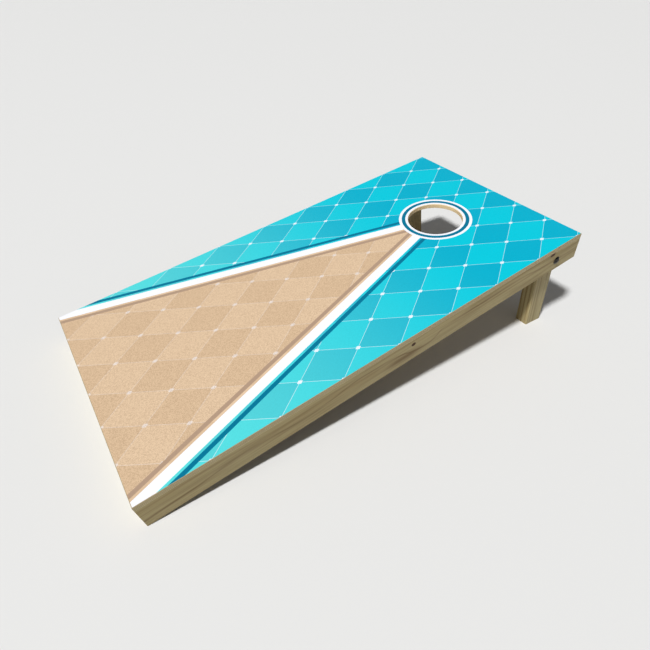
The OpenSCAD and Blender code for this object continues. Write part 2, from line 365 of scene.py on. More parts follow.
class Shading(Tree):
    """A material that is built a node at a time around one shader."""

    def __init__(self, name: str, axes: Matrix | None = None) -> None:
        """Starts the material.

        Args:
            name: the material's name.
            axes: from the row frame to the pattern's axes, which are the same if it is left out.
        """
        self.material = bpy.data.materials.new(name)
        self.material.use_nodes = True
        super().__init__(self.material.node_tree)
        self.shader = self.tree.nodes["Principled BSDF"]
        self.axes = axes or Matrix()

    @cached_property
    def coordinates(self) -> bpy.types.Node:
        """The node that knows the shaded point in the row frame."""
        return self.add("ShaderNodeTexCoord")

    @cached_property
    def place(self) -> Socket:
        """Moves the shaded point into the pattern's axes.

        Returns:
            The place.
        """
        turn = {"Location": self.axes.translation, "Rotation": self.axes.to_euler()}
        inputs = {"Vector": self.coordinates.outputs["Object"], **turn}
        return self.add("ShaderNodeMapping", inputs, vector_type="POINT").outputs["Vector"]

    @cached_property
    def spot(self) -> tuple[Number, Number, Number]:
        """How far along, across and up the pattern's axes the shaded point is."""
        return self.separate(self.place)

    def facing(self, axis: Axis) -> Number:
        """How squarely the surface faces along an axis, either way.

        Args:
            axis: the axis of the pattern.
        Returns:
            The share, 0 to 1.
        """
        inputs = {0: self.coordinates.outputs["Normal"], 1: self.axes.to_3x3().row[axis.value]}
        node = self.add("ShaderNodeVectorMath", inputs, operation="DOT_PRODUCT")
        return abs(Number(self, node.outputs["Value"]))

    def cloud(self, place: Socket, cloud: Cloud) -> Number:
        """Reads smooth noise.

        Args:
            place: where to read it.
            cloud: the noise.
        Returns:
            A number around one half.
        """
        stretched = self.vector("MULTIPLY", place, cloud.stretch)
        inputs = {"Vector": stretched, "Scale": cloud.scale, "Detail": cloud.detail}
        return Number(self, self.add("ShaderNodeTexNoise", inputs).outputs["Fac"])

    def sway(self, place: Socket, cloud: Cloud, reach: float) -> Number:
        """Smooth noise around zero, with a reach from its lowest to its highest."""
        return (self.cloud(place, cloud) - 0.5) * reach

    def grains(self, scale: float) -> Number:
        """A random number, 0 to 1, for each of many small cells, given how many lie in a metre."""
        cells = self.add("ShaderNodeTexVoronoi", {"Vector": self.place, "Scale": scale})
        return self.separate(cells.outputs["Color"])[0]

    def line(self, place: Number, points: Sequence[tuple[float, float]]) -> Number:
        """A number that follows a smooth curve.

        Args:
            place: where on the curve to read it.
            points: places and the numbers there, in order from place 0.
        Returns:
            The number at the place.
        """
        reach, most = points[-1][0], max(number for _, number in points)
        node = self.add("ShaderNodeFloatCurve", {"Value": place / reach})
        curve = node.mapping.curves[0]
        first, *between, last = [(where / reach, number / most) for where, number in points]
        curve.points[0].location = first
        curve.points[1].location = last
        for point in between:
            curve.points.new(*point)
        node.mapping.update()
        return Number(self, node.outputs["Value"]) * most

    def ramp(self, factor: Number, tones: Tones) -> Socket:
        """Colours a number by a ramp.

        Args:
            factor: the number, 0 to 1.
            tones: places on the ramp and their colours, in order.
        Returns:
            The colour.
        """
        node = self.add("ShaderNodeValToRGB", {"Fac": factor})
        ramp = node.color_ramp
        for _ in range(len(tones) - len(ramp.elements)):
            ramp.elements.new(1.0)
        for element, (position, colour) in zip(ramp.elements, tones):
            element.position = position
            element.color = colour
        return node.outputs["Color"]

    def mix(self, factor: Feed, first: Feed, second: Feed, blend: str = "MIX") -> Socket:
        """Mixes two colours.

        Args:
            factor: how much of the second shows.
            first: the colour below.
            second: the colour above.
            blend: how the second acts on the first.
        Returns:
            The mixed colour.
        """
        node = self.add("ShaderNodeMix", data_type="RGBA", blend_type=blend, clamp_factor=True)
        sockets = {socket.identifier: socket for socket in (*node.inputs, *node.outputs)}
        self.feed(sockets["Factor_Float"], factor)
        self.feed(sockets["A_Color"], first)
        self.feed(sockets["B_Color"], second)
        return sockets["Result_Color"]

    def veil(self, below: Feed, place: Socket, veil: Veil) -> Socket:
        """Lays a veil over a colour, by its noise at a place."""
        return self.mix(self.ease(self.cloud(place, veil.cloud), veil.share), below, veil.colour)

    def bump(self, height: Number, relief: Relief) -> None:
        """Gives the shader its relief, by its height from 0 to 1."""
        inputs = {"Height": height, "Distance": relief.depth, "Strength": relief.strength}
        self.finish(Normal=self.add("ShaderNodeBump", inputs).outputs["Normal"])

    def finish(self, **inputs: Feed) -> bpy.types.Material:
        """Feeds the shader's inputs.

        Args:
            inputs: values by input name, with underscores for spaces.
        Returns:
            The material.
        """
        for name, value in inputs.items():
            self.feed(self.shader.inputs[name.replace("_", " ")], value)
        return self.material


@dataclass(frozen=True)
class DeckHole:
    """The round hole through the deck.

    Attributes:
        place: its middle along the board.
        radius: its radius.
    """

    place: float
    radius: float

    @classmethod
    def read(cls) -> "DeckHole":
        """Finds the hole from its mount.

        Returns:
            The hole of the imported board.
        """
        bore = mount("bag_hole")
        middle = BOARD.inverse @ Vector(bore["pos_m"])
        return cls(middle.x, bore["dims"]["r_mm"] * MILLIMETRE)

    def outside(self, shading: Shading) -> Number:
        """How far outside the hole's wall the shaded point of the board is."""
        along, across, _ = shading.spot
        return shading.length(along - self.place, across) - self.radius


@dataclass(frozen=True)
class Knot:
    """A knot that runs through a timber's face.

    Attributes:
        along: its place along the grain.
        up: its place across the face.
        radius: half its width across the grain.
        swirl: how far the grain bends round it.
        stretch: how much longer it is along the grain.
    """

    along: float
    up: float
    radius: float
    swirl: float
    stretch: float = 1.25


@dataclass(frozen=True)
class Streak:
    """A dark line of heartwood along a timber's face.

    Attributes:
        places: where it runs, along the grain from the timber's start and across the face.
        half_width: half its width.
        strength: how dark it is, 0 to 1.
        ends: where along the grain it fades in and out again, past the board's ends if left out.
    """

    places: tuple[tuple[float, float], ...]
    half_width: float
    strength: float
    ends: tuple[float, float] = (-0.1, 1.3)

    FADE: ClassVar[float] = 0.03

    @property
    def passages(self) -> tuple[Ease, Ease]:
        """How it comes in at its first end and goes out at its last."""
        first, last = self.ends
        return Ease(first - self.FADE, first + self.FADE), Ease(last + self.FADE, last - self.FADE)


@dataclass(frozen=True)
class Sawing:
    """How a timber was sawn from its tree, and the marks on its face.

    Attributes:
        pith: where the heart of the tree lay, from the timber's middle: through it and up its face.
        drift: how much the growth rings move outwards along the grain.
        offset: where along the tree it was cut.
        ring: width of a band of growth rings.
        figure: how strongly the bands show, 0 to 1.
        knots: the knots on its face.
        streaks: the dark lines on its face.
    """

    pith: tuple[float, float]
    drift: float
    offset: float
    ring: float = 0.0085
    figure: float = 0.8
    knots: tuple[Knot, ...] = ()
    streaks: tuple[Streak, ...] = ()


@dataclass(frozen=True)
class PineFinish:
    """Sanded softwood with growth rings, fibres and knots.

    Attributes:
        name: the material's name.
        axes: from the row frame to the timber's axes, with the grain along the first.
        middle: the timber's middle on its other two axes.
        sawing: how it was sawn.
    """

    name: str
    axes: Matrix
    middle: tuple[float, float]
    sawing: Sawing

    EARLY: ClassVar[Colour] = srgb(171, 158, 120)
    MIDDLE: ClassVar[Colour] = srgb(161, 147, 108)
    LATE: ClassVar[Colour] = srgb(137, 115, 78)
    PALE: ClassVar[Colour] = srgb(165, 156, 123)
    FIBRE: ClassVar[Colour] = srgb(156, 132, 92)
    STREAK: ClassVar[Colour] = srgb(104, 78, 47)
    END_EARLY: ClassVar[Colour] = srgb(156, 137, 98)
    END_LATE: ClassVar[Colour] = srgb(118, 92, 58)
    KNOT: ClassVar[Colour] = srgb(86, 53, 31)
    KNOT_CORE: ClassVar[Colour] = srgb(48, 30, 19)
    BAND: ClassVar[Tones] = ((0.0, EARLY), (0.45, EARLY), (0.7, MIDDLE), (0.9, LATE), (1.0, EARLY))
    END_RING: ClassVar[Tones] = ((0.0, END_EARLY), (0.4, END_EARLY), (0.85, END_LATE), (1.0, END_EARLY))
    KNOT_RINGS: ClassVar[Tones] = ((0.0, KNOT_CORE), (0.45, KNOT), (0.62, KNOT_CORE), (1.0, KNOT))
    RINGS_IN_BAND: ClassVar[float] = 3.0
    SWAY: ClassVar[Cloud] = Cloud(3.0, 2.0, (0.5, 4, 4))
    SWAY_REACH: ClassVar[float] = 0.018
    UNEVEN: ClassVar[Cloud] = Cloud(0.9, 1.0)
    UNEVEN_REACH: ClassVar[float] = 1.1
    FIBRES: ClassVar[Cloud] = Cloud(160.0, 3.0, (0.035, 1, 1))
    FIBRE_SHARE: ClassVar[Ease] = Ease(0.38, 0.7, 0.38)
    CANALS: ClassVar[Veil] = Veil(Cloud(520.0, 1.0, (0.02, 1, 1)), Ease(0.66, 0.76, 0.5), LATE)
    PATCHES: ClassVar[Veil] = Veil(Cloud(2.6, 3.0, (1, 5, 5)), Ease(0.35, 0.7, 0.4), PALE)
    PORES: ClassVar[Veil] = Veil(Cloud(1300.0, 2.0), Ease(0.45, 0.7, 0.4), END_LATE)
    WANDER: ClassVar[Cloud] = Cloud(9.0, 3.0, (1, 3, 3))
    WANDER_REACH: ClassVar[float] = 0.008
    STREAK_FIBRES: ClassVar[Ease] = Ease(0.2, 0.5)
    SAWN_END: ClassVar[Ease] = Ease(0.55, 0.85)
    KNOT_RIM: ClassVar[Ease] = Ease(1.15, 0.75)
    # How much shorter the bent grain round a knot reaches across the timber than along it
    EYE_SHAPE: ClassVar[float] = 0.42
    EYE_PULL: ClassVar[float] = 0.72
    RELIEF: ClassVar[Relief] = Relief(0.00035, 0.55)
    FIBRE_RELIEF: ClassVar[float] = 0.6
    RING_RELIEF: ClassVar[float] = 0.4
    LEAST_ROUGH: ClassVar[float] = 0.47
    FIBRE_ROUGH: ClassVar[float] = 0.22

    def make(self) -> bpy.types.Material:
        """Builds the wood.

        Returns:
            The material.
        """
        wood = Shading(self.name, self.axes)
        offset = self.sawing.offset
        cut = wood.vector("ADD", wood.place, (offset, offset, offset))
        phase = self._rings(wood, cut)
        fibres = wood.cloud(cut, self.FIBRES)
        colour = wood.mix(self.sawing.figure, self.MIDDLE, wood.ramp(phase, self.BAND))
        colour = wood.mix(wood.ease(fibres, self.FIBRE_SHARE), colour, self.FIBRE, "MULTIPLY")
        colour = wood.veil(colour, cut, self.CANALS)
        colour = wood.veil(colour, cut, self.PATCHES)
        colour = self._streaked(wood, colour, cut, fibres)
        sawn = wood.ease(wood.facing(Axis.ALONG), self.SAWN_END)
        colour = wood.mix(sawn, colour, self._end_grain(wood, phase))
        colour = self._knotted(wood, colour)
        wood.bump(fibres * self.FIBRE_RELIEF + phase * self.RING_RELIEF, self.RELIEF)
        rough = fibres * self.FIBRE_ROUGH + self.LEAST_ROUGH
        return wood.finish(Base_Color=colour, Roughness=rough, Specular_IOR_Level=SATIN)

    def _rings(self, wood: Shading, cut: Socket) -> Number:
        """Lays bands of growth rings round the pith.

        Args:
            wood: the material.
            cut: the place in the tree.
        Returns:
            How far through its band the wood lies, 0 to 1.
        """
        along, through, _ = wood.spot
        beside, above = (middle + pith for middle, pith in zip(self.middle, self.sawing.pith))
        radius = wood.length(through - beside, self._bent(wood) - above)
        sway = wood.sway(cut, self.SWAY, self.SWAY_REACH)
        bands = (radius + along * self.sawing.drift + sway) / self.sawing.ring
        uneven = wood.cloud(wood.combine(bands, self.sawing.offset), self.UNEVEN)
        return wood.math("FRACT", bands + uneven * self.UNEVEN_REACH)

    def _bent(self, wood: Shading) -> Number:
        """Bends the grain round the knots.

        Args:
            wood: the material.
        Returns:
            The place up the timber's face that the grain would have without them.
        """
        along, _, up = wood.spot
        bent = up
        for knot in self.sawing.knots:
            rise = up - knot.up
            reach = wood.length((along - knot.along) * self.EYE_SHAPE, rise) / knot.swirl
            bent = bent - wood.math("EXPONENT", -(reach * reach)) * rise * self.EYE_PULL
        return bent

    def _streaked(self, wood: Shading, colour: Socket, cut: Socket, fibres: Number) -> Socket:
        """Draws the dark lines, which keep to the fibres.

        Args:
            wood: the material.
            colour: the colour under them.
            cut: the place in the tree.
            fibres: the fibres, as a number.
        Returns:
            The colour with the lines.
        """
        along, _, up = wood.spot
        wavy = up + wood.sway(cut, self.WANDER, self.WANDER_REACH)
        for streak in self.sawing.streaks:
            off = abs(wavy - wood.line(along, streak.places))
            share = wood.ease(off, Ease(streak.half_width, 0.0, streak.strength))
            for passage in streak.passages:
                share = share * wood.ease(along, passage)
            colour = wood.mix(share * wood.ease(fibres, self.STREAK_FIBRES), colour, self.STREAK)
        return colour

    def _end_grain(self, wood: Shading, phase: Number) -> Socket:
        """The colour of a sawn end, where growth rings are seen square on among open pores."""
        season = wood.math("FRACT", phase * self.RINGS_IN_BAND)
        return wood.veil(wood.ramp(season, self.END_RING), wood.place, self.PORES)

    def _knotted(self, wood: Shading, colour: Socket) -> Socket:
        """Draws the knots.

        Args:
            wood: the material.
            colour: the colour under them.
        Returns:
            The colour with the knots.
        """
        along, _, up = wood.spot
        for knot in self.sawing.knots:
            off = wood.length((along - knot.along) / knot.stretch, up - knot.up) / knot.radius
            colour = wood.mix(wood.ease(off, self.KNOT_RIM), colour, wood.ramp(off, self.KNOT_RINGS))
        return colour


@dataclass(frozen=True)
class PlywoodFinish:
    """Plywood whose cut edges show their plies and whose faces show rotary-cut veneer.

    Attributes:
        name: the material's name.
        bottom: height of the sheet's underside.
        thickness: thickness of the sheet.
        plies: number of plies.
        hole: the hole through it, whose wall is painted paler as painted light, while the eased edges are painted
            darker as painted shade.
    """

    name: str
    bottom: float
    thickness: float
    plies: int
    hole: DeckHole

    LONG_GRAIN: ClassVar[Colour] = srgb(190, 177, 143)
    LONG_STREAK: ClassVar[Colour] = srgb(170, 154, 119)
    END_GRAIN: ClassVar[Colour] = srgb(160, 146, 114)
    END_PORE: ClassVar[Colour] = srgb(144, 128, 95)
    GLUE: ClassVar[Colour] = srgb(126, 103, 73)
    PEELED: ClassVar[Colour] = srgb(203, 180, 138)
    PEELED_LATE: ClassVar[Colour] = srgb(176, 144, 101)
    # Painted shade: a darker tone for the eased top edges, which would otherwise catch the light as a pale line
    RUBBED: ClassVar[Colour] = srgb(148, 134, 108)
    # Painted light: a paler tone on the wall of the hole, standing in for the light that falls on it
    ROUTED: ClassVar[Colour] = srgb(240, 217, 176)
    FIGURE: ClassVar[Tones] = (
        (0.0, PEELED), (0.35, LONG_GRAIN), (0.72, PEELED), (0.93, PEELED_LATE), (1.0, PEELED)
    )
    WANDER: ClassVar[Cloud] = Cloud(22.0, 1.0)
    WANDER_REACH: ClassVar[float] = 0.16
    STREAKS: ClassVar[Veil] = Veil(Cloud(240.0, 2.0, (0.06, 0.06, 1)), Ease(0.35, 0.75, 0.5), LONG_STREAK)
    PORES: ClassVar[Cloud] = Cloud(1100.0, 1.0)
    PORE_SHARE: ClassVar[Ease] = Ease(0.35, 0.72, 0.7)
    CUT_SQUARE: ClassVar[Ease] = Ease(0.25, 0.8)
    GLUE_LINE: ClassVar[Ease] = Ease(0.44, 0.5, 0.8)
    SWELL: ClassVar[Cloud] = Cloud(3.2, 2.0, (0.34, 3.4, 0))
    CONTOURS: ClassVar[float] = 26.0
    FIBRES: ClassVar[Cloud] = Cloud(300.0, 2.0, (0.03, 1, 1))
    FIBRE_SHARE: ClassVar[Ease] = Ease(0.4, 0.75, 0.4)
    # How much painted shade the eased edges take, by how far they face up
    RUBBED_SHARE: ClassVar[Ease] = Ease(0.1, 0.35, 0.85)
    # How much painted light the hole's wall takes, near the hole
    ROUTED_SHARE: ClassVar[Ease] = Ease(0.004, 0.002, 0.7)
    FACE: ClassVar[Ease] = Ease(0.96, 0.995)
    RELIEF: ClassVar[Relief] = Relief(0.0003, 0.5)
    ROUGH: ClassVar[float] = 0.58

    def make(self) -> bpy.types.Material:
        """Builds the plywood.

        Returns:
            The material.
        """
        ply = Shading(self.name, BOARD.inverse)
        level = ply.facing(Axis.UP)
        edge, pores = self._edge(ply)
        # Painted shade on the eased edges, which face partly up
        edge = ply.mix(ply.ease(level, self.RUBBED_SHARE), edge, self.RUBBED)
        # Painted light on the wall of the hole
        edge = ply.mix(ply.ease(self.hole.outside(ply), self.ROUTED_SHARE), edge, self.ROUTED)
        veneer, fibres = self._veneer(ply)
        face = ply.ease(level, self.FACE)
        ply.bump(pores + (fibres - pores) * face, self.RELIEF)
        colour = ply.mix(face, edge, veneer)
        return ply.finish(Base_Color=colour, Roughness=self.ROUGH, Specular_IOR_Level=SATIN)

    def _edge(self, ply: Shading) -> tuple[Socket, Number]:
        """The cut edge of the sheet, where every other ply shows its end grain.

        Args:
            ply: the material.
        Returns:
            The edge's colour, and its open pores as a number.
        """
        wander = ply.sway(ply.place, self.WANDER, self.WANDER_REACH)
        layer = (ply.spot[Axis.UP.value] - self.bottom) * (self.plies / self.thickness) + wander
        crosswise = ply.math("MODULO", ply.math("FLOOR", layer), 2.0) > 0.5
        along, across = ply.facing(Axis.ALONG), ply.facing(Axis.ACROSS)
        end = along + (across - along) * crosswise
        pores = ply.cloud(ply.place, self.PORES)
        long_grain = ply.veil(self.LONG_GRAIN, ply.place, self.STREAKS)
        end_grain = ply.mix(ply.ease(pores, self.PORE_SHARE), self.END_GRAIN, self.END_PORE)
        colour = ply.mix(ply.ease(end, self.CUT_SQUARE), long_grain, end_grain)
        from_middle = abs(ply.math("FRACT", layer) - 0.5)
        return ply.mix(ply.ease(from_middle, self.GLUE_LINE), colour, self.GLUE), pores * end

    def _veneer(self, ply: Shading) -> tuple[Socket, Number]:
        """The peeled face of the sheet.

        Args:
            ply: the material.
        Returns:
            The veneer's colour, and its fibres as a number.
        """
        contour = ply.math("FRACT", ply.cloud(ply.place, self.SWELL) * self.CONTOURS)
        fibres = ply.cloud(ply.place, self.FIBRES)
        share = ply.ease(fibres, self.FIBRE_SHARE)
        return ply.mix(share, ply.ramp(contour, self.FIGURE), self.PEELED_LATE, "MULTIPLY"), fibres


@dataclass(frozen=True)
class Band:
    """A printed band beside a line.

    Attributes:
        middle: how far outside the line its middle runs.
        half_width: half its width.
        colour: its colour.
    """

    middle: float
    half_width: float
    colour: Colour


@dataclass(frozen=True)
class PrintFinish:
    """Satin film printed with a plain board-game triangle over a tonal harlequin ground.

    Attributes:
        name: the material's name.
        half_width: half the width of the board.
        hole: the hole through it, where the triangle's sides meet.
        diamond: length and width of the harlequin's diamonds.
    """

    name: str
    half_width: float
    hole: DeckHole
    diamond: tuple[float, float]

    SAND: ClassVar[tuple[Colour, Colour]] = (srgb(217, 192, 163), srgb(210, 184, 154))
    TURQUOISE: ClassVar[tuple[Colour, Colour]] = (srgb(0, 194, 212), srgb(0, 172, 198))
    PALE_TURQUOISE: ClassVar[Colour] = srgb(120, 222, 214)
    WHITE: ClassVar[Colour] = srgb(236, 237, 243)
    STONE: ClassVar[Colour] = srgb(174, 150, 130)
    TEAL: ClassVar[Colour] = srgb(0, 120, 150)
    GRIT: ClassVar[Colour] = srgb(150, 128, 110)
    SIDE_BANDS: ClassVar[tuple[Band, ...]] = (
        Band(-0.023, 0.005, STONE), Band(0.0, 0.012, WHITE), Band(0.023, 0.005, TEAL)
    )
    HOLE_BANDS: ClassVar[tuple[Band, ...]] = (Band(0.008, 0.018, WHITE), Band(0.013, 0.005, TEAL))
    # How far from the triangle's sides its bands reach
    BORDER: ClassVar[float] = 0.028
    PALE_SHARE: ClassVar[float] = 0.6
    # Half widths as shares of a diamond, and how much white they show
    PIPING: ClassVar[float] = 0.007
    PIPING_WHITE: ClassVar[float] = 0.55
    DOT: ClassVar[float] = 0.05
    DOT_WHITE: ClassVar[float] = 0.85
    SAND_FADE: ClassVar[float] = 0.45
    GRAIN_SCALE: ClassVar[float] = 720.0
    GRAIN_SHARE: ClassVar[Ease] = Ease(0.2, 1.0)
    FILM_GRIT: ClassVar[float] = 0.06
    SAND_GRIT: ClassVar[float] = 0.24
    TEXTURE: ClassVar[Cloud] = Cloud(1500.0, 1.0)
    RELIEF: ClassVar[Relief] = Relief(0.00008, 0.35)
    SMEARS: ClassVar[Cloud] = Cloud(12.0, 4.0)
    LEAST_ROUGH: ClassVar[float] = 0.26
    SMEAR_ROUGH: ClassVar[float] = 0.14

    def make(self) -> bpy.types.Material:
        """Builds the film.

        Returns:
            The material.
        """
        film = Shading(self.name, BOARD.inverse)
        along, across, _ = film.spot
        slope = self.half_width / self.hole.place
        off_side = (along * slope + abs(across) - self.half_width) * math.cos(math.atan(slope))
        colour = self._harlequin(film, off_side)
        for off, bands in ((off_side, self.SIDE_BANDS), (self.hole.outside(film), self.HOLE_BANDS)):
            for band in bands:
                colour = film.mix(abs(off - band.middle) < band.half_width, colour, band.colour)
        grit = (off_side < -self.BORDER) * self.SAND_GRIT + self.FILM_GRIT
        share = film.ease(film.grains(self.GRAIN_SCALE), self.GRAIN_SHARE) * grit
        colour = film.mix(share, colour, self.GRIT, "MULTIPLY")
        film.bump(film.cloud(film.place, self.TEXTURE), self.RELIEF)
        rough = film.cloud(film.place, self.SMEARS) * self.SMEAR_ROUGH + self.LEAST_ROUGH
        return film.finish(Base_Color=colour, Roughness=rough, Specular_IOR_Level=SATIN)

    def _harlequin(self, film: Shading, off_side: Number) -> Socket:
        """Diamonds in two close tones, piped along their edges and dotted at their corners.

        Args:
            film: the material.
            off_side: how far outside the triangle the place is.
        Returns:
            The pattern's colours, paler towards the foot end.
        """
        along, across, _ = film.spot
        inside = off_side < 0.0
        clear = abs(off_side) > self.BORDER
        run, rise = along / self.diamond[0], across / self.diamond[1]
        slants = (run + rise, run - rise)
        first, second = (film.math("FLOOR", slant) for slant in slants)
        odd = film.math("PINGPONG", first + second, 1.0)
        turquoise, sand = (film.mix(odd, *tones) for tones in (self.TURQUOISE, self.SAND))
        pale = film.ease(along, Ease(self.hole.place, 0.0, self.PALE_SHARE))
        colour = film.mix(inside, film.mix(pale, turquoise, self.PALE_TURQUOISE), sand)
        gaps = [film.math("PINGPONG", slant, 0.5) for slant in slants]
        piping = (film.math("MINIMUM", *gaps) < self.PIPING) * self.PIPING_WHITE
        dots = (film.math("MAXIMUM", *gaps) < self.DOT) * self.DOT_WHITE
        share = film.math("MAXIMUM", piping, dots) * clear * (1.0 - inside * self.SAND_FADE)
        return film.mix(share, colour, self.WHITE)


@dataclass(frozen=True)
class MetalFinish:
    """Plated or blackened steel.

    Attributes:
        name: the material's name.
        colour: its main colour.
        tint: the colour of its cloudy patches.
        rough: its mean roughness.
    """

    name: str
    colour: Colour
    tint: Colour
    rough: float

    PATCHES: ClassVar[Cloud] = Cloud(260.0, 4.0)
    TINT_SHARE: ClassVar[Ease] = Ease(0.35, 0.7)
    PATCH_ROUGH: ClassVar[float] = 0.2
    DRAWN: ClassVar[Cloud] = Cloud(900.0, 3.0, (1, 0.2, 1))
    RELIEF: ClassVar[Relief] = Relief(0.00006, 0.4)

    def make(self) -> bpy.types.Material:
        """Builds the metal.

        Returns:
            The material.
        """
        metal = Shading(self.name)
        patches = metal.cloud(metal.place, self.PATCHES)
        colour = metal.mix(metal.ease(patches, self.TINT_SHARE), self.colour, self.tint)
        metal.bump(metal.cloud(metal.place, self.DRAWN), self.RELIEF)
        rough = (patches - 0.5) * self.PATCH_ROUGH + self.rough
        return metal.finish(Base_Color=colour, Metallic=1.0, Roughness=rough)


@dataclass(frozen=True)
class NylonFinish:
    """Moulded nylon, a little cloudy.

    Attributes:
        name: the material's name.
        colour: its colour.
        haze: its milkier colour.
    """

    name: str
    colour: Colour
    haze: Colour

    PATCHES: ClassVar[Cloud] = Cloud(420.0, 3.0)
    HAZE_SHARE: ClassVar[Ease] = Ease(0.3, 0.75)
    RELIEF: ClassVar[Relief] = Relief(0.0001, 0.3)
    ROUGH: ClassVar[float] = 0.38

    def make(self) -> bpy.types.Material:
        """Builds the nylon.

        Returns:
            The material.
        """
        nylon = Shading(self.name)
        patches = nylon.cloud(nylon.place, self.PATCHES)
        nylon.bump(patches, self.RELIEF)
        colour = nylon.mix(nylon.ease(patches, self.HAZE_SHARE), self.colour, self.haze)
        return nylon.finish(Base_Color=colour, Roughness=self.ROUGH)


def shared_finishes() -> dict[Slot, bpy.types.Material]:
    """Builds the finishes that several pieces share.

    Returns:
        The finish for each slot.
    """
    black = MetalFinish("blackened_steel", srgb(84, 82, 77), tint=srgb(46, 44, 42), rough=0.36)
    zinc = MetalFinish("zinc_plate", srgb(206, 209, 214), tint=srgb(178, 184, 196), rough=0.34)
    nylon = NylonFinish("nylon_ring", srgb(38, 84, 158), haze=srgb(74, 116, 180))
    return {Slot.DARK_STEEL: black.make(), Slot.ZINC: zinc.make(), Slot.NYLON: nylon.make()}


def dress(node: str, material: bpy.types.Material) -> str:
    """Gives a CAD node its finish.

    Args:
        node: the node's name.
        material: its finish.
    Returns:
        The node's name.
    """
    data = frame["nodes"][node].data
    data.materials.clear()
    data.materials.append(material)
    return node


def add_piece(
    name: str, mesh: bpy.types.Mesh, material: bpy.types.Material, body: Body, slot: Slot, node: str
) -> str:
    """Puts a finished piece in the place of a CAD node.

    Args:
        name: the piece's name.
        mesh: its shape, in the row frame.
        material: its finish.
        body: what it moves with.
        slot: the record's slot for its finish; not used.
        node: the CAD node that it stands for.
    Returns:
        The piece's name.
    """
    mesh.materials.clear()
    mesh.materials.append(material)
    piece = bpy.data.objects.new(name, mesh)
    bpy.context.scene.collection.objects.link(piece)
    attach(piece, body.value)
    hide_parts(node)
    return name


def smooth(mesh: bpy.types.Mesh) -> bpy.types.Mesh:
    """Shades a mesh smooth but for its creases.

    Args:
        mesh: the mesh.
    Returns:
        The same mesh.
    """
    mesh.shade_smooth()
    mesh.set_sharp_from_angle(angle=math.radians(CREASE))
    return mesh


def mesh_of(shape: bmesh.types.BMesh, name: str) -> bpy.types.Mesh:
    """Turns a shape into a mesh.

    Args:
        shape: the shape, which is used up.
        name: the mesh's name.
    Returns:
        The mesh.
    """
    mesh = bpy.data.meshes.new(name)
    shape.to_mesh(mesh)
    shape.free()
    return smooth(mesh)


def welded_copy(node: str) -> bmesh.types.BMesh:
    """Copies a CAD node's shape and joins its faces.

    Args:
        node: the node's name.
    Returns:
        The shape.
    """
    shape = bmesh.new()
    shape.from_mesh(frame["nodes"][node].data)
    bmesh.ops.remove_doubles(shape, verts=shape.verts, dist=WELD)
    return shape


def evaluated_mesh(source: bpy.types.Object) -> bpy.types.Mesh:
    """The plain mesh that an object's modifiers make, after which the object is gone.

    Args:
        source: the object, which isn't in the scene yet.
    Returns:
        The mesh.
    """
    bpy.context.scene.collection.objects.link(source)
    mesh = bpy.data.meshes.new_from_object(source.evaluated_get(bpy.context.evaluated_depsgraph_get()))
    source.modifiers.clear()
    bpy.data.objects.remove(source)
    return mesh


def sanded_copy(node: str, ease: float) -> bpy.types.Mesh:
    """Copies a CAD node and breaks its sharp edges.

    Args:
        node: the node's name.
        ease: width of the broken edges.
    Returns:
        The copy's mesh.
    """
    shape = welded_copy(node)
    bmesh.ops.dissolve_limit(shape, angle_limit=math.radians(FLAT), verts=shape.verts, edges=shape.edges)
    mesh = mesh_of(shape, node)
    if "custom_normal" in mesh.attributes:
        mesh.attributes.remove(mesh.attributes["custom_normal"])
    blank = bpy.data.objects.new(node, mesh)
    sanding = blank.modifiers.new("sanding", "BEVEL")
    sanding.width = ease
    sanding.segments = SANDING_STEPS
    sanding.limit_method = "ANGLE"
    sanding.angle_limit = math.radians(CREASE)
    sanding.harden_normals = True
    return evaluated_mesh(blank)


class SubAssembly(ABC):
    """A part of the board that makes its own pieces."""

    @abstractmethod
    def build(self) -> list[str]:
        """Builds and dresses the pieces, and gives their names."""


@dataclass
class Deck(SubAssembly):
    """The plywood deck and its printed film.

    Attributes:
        plies: number of plies in the sheet.
        diamond: length and width of the print's diamonds.
    """

    plies: int = 7
    diamond: tuple[float, float] = (0.150, 0.102)

    def build(self) -> list[str]:
        """Gives the sheet its plies and the film its print.

        Returns:
            The pieces' names.
        """
        low, high = BOARD.box("deck")
        hole = DeckHole.read()
        sheet = PlywoodFinish("edge_plywood", low.z, high.z - low.z, self.plies, hole)
        film = PrintFinish("printed_film", high.y, hole, self.diamond)
        return [dress("deck", sheet.make()), dress("deck_film", film.make())]


class Grain(Enum):
    """The way a rail's grain runs."""

    ALONG = "along the board"
    ACROSS = "across the board"

    @property
    def axes(self) -> Matrix:
        """From the row frame to a timber's axes, with the grain along the first."""
        turn = -QUARTER_TURN if self is Grain.ACROSS else 0.0
        return Matrix.Rotation(turn, 4, "Z") @ BOARD.inverse


@dataclass(frozen=True)
class Rail:
    """A rail and the cut of pine that it was made from.

    Attributes:
        node: the CAD node.
        grain: the way its grain runs.
        sawing: how it was sawn.
    """

    node: str
    grain: Grain
    sawing: Sawing

    def finish(self) -> bpy.types.Material:
        """Makes the rail's own pine.

        Returns:
            The material.
        """
        axes = self.grain.axes
        low, high = BOARD.box(self.node)
        _, through, up = axes @ BOARD.matrix @ ((low + high) / 2)
        return PineFinish(f"{self.node}_pine", axes, (through, up), self.sawing).make()


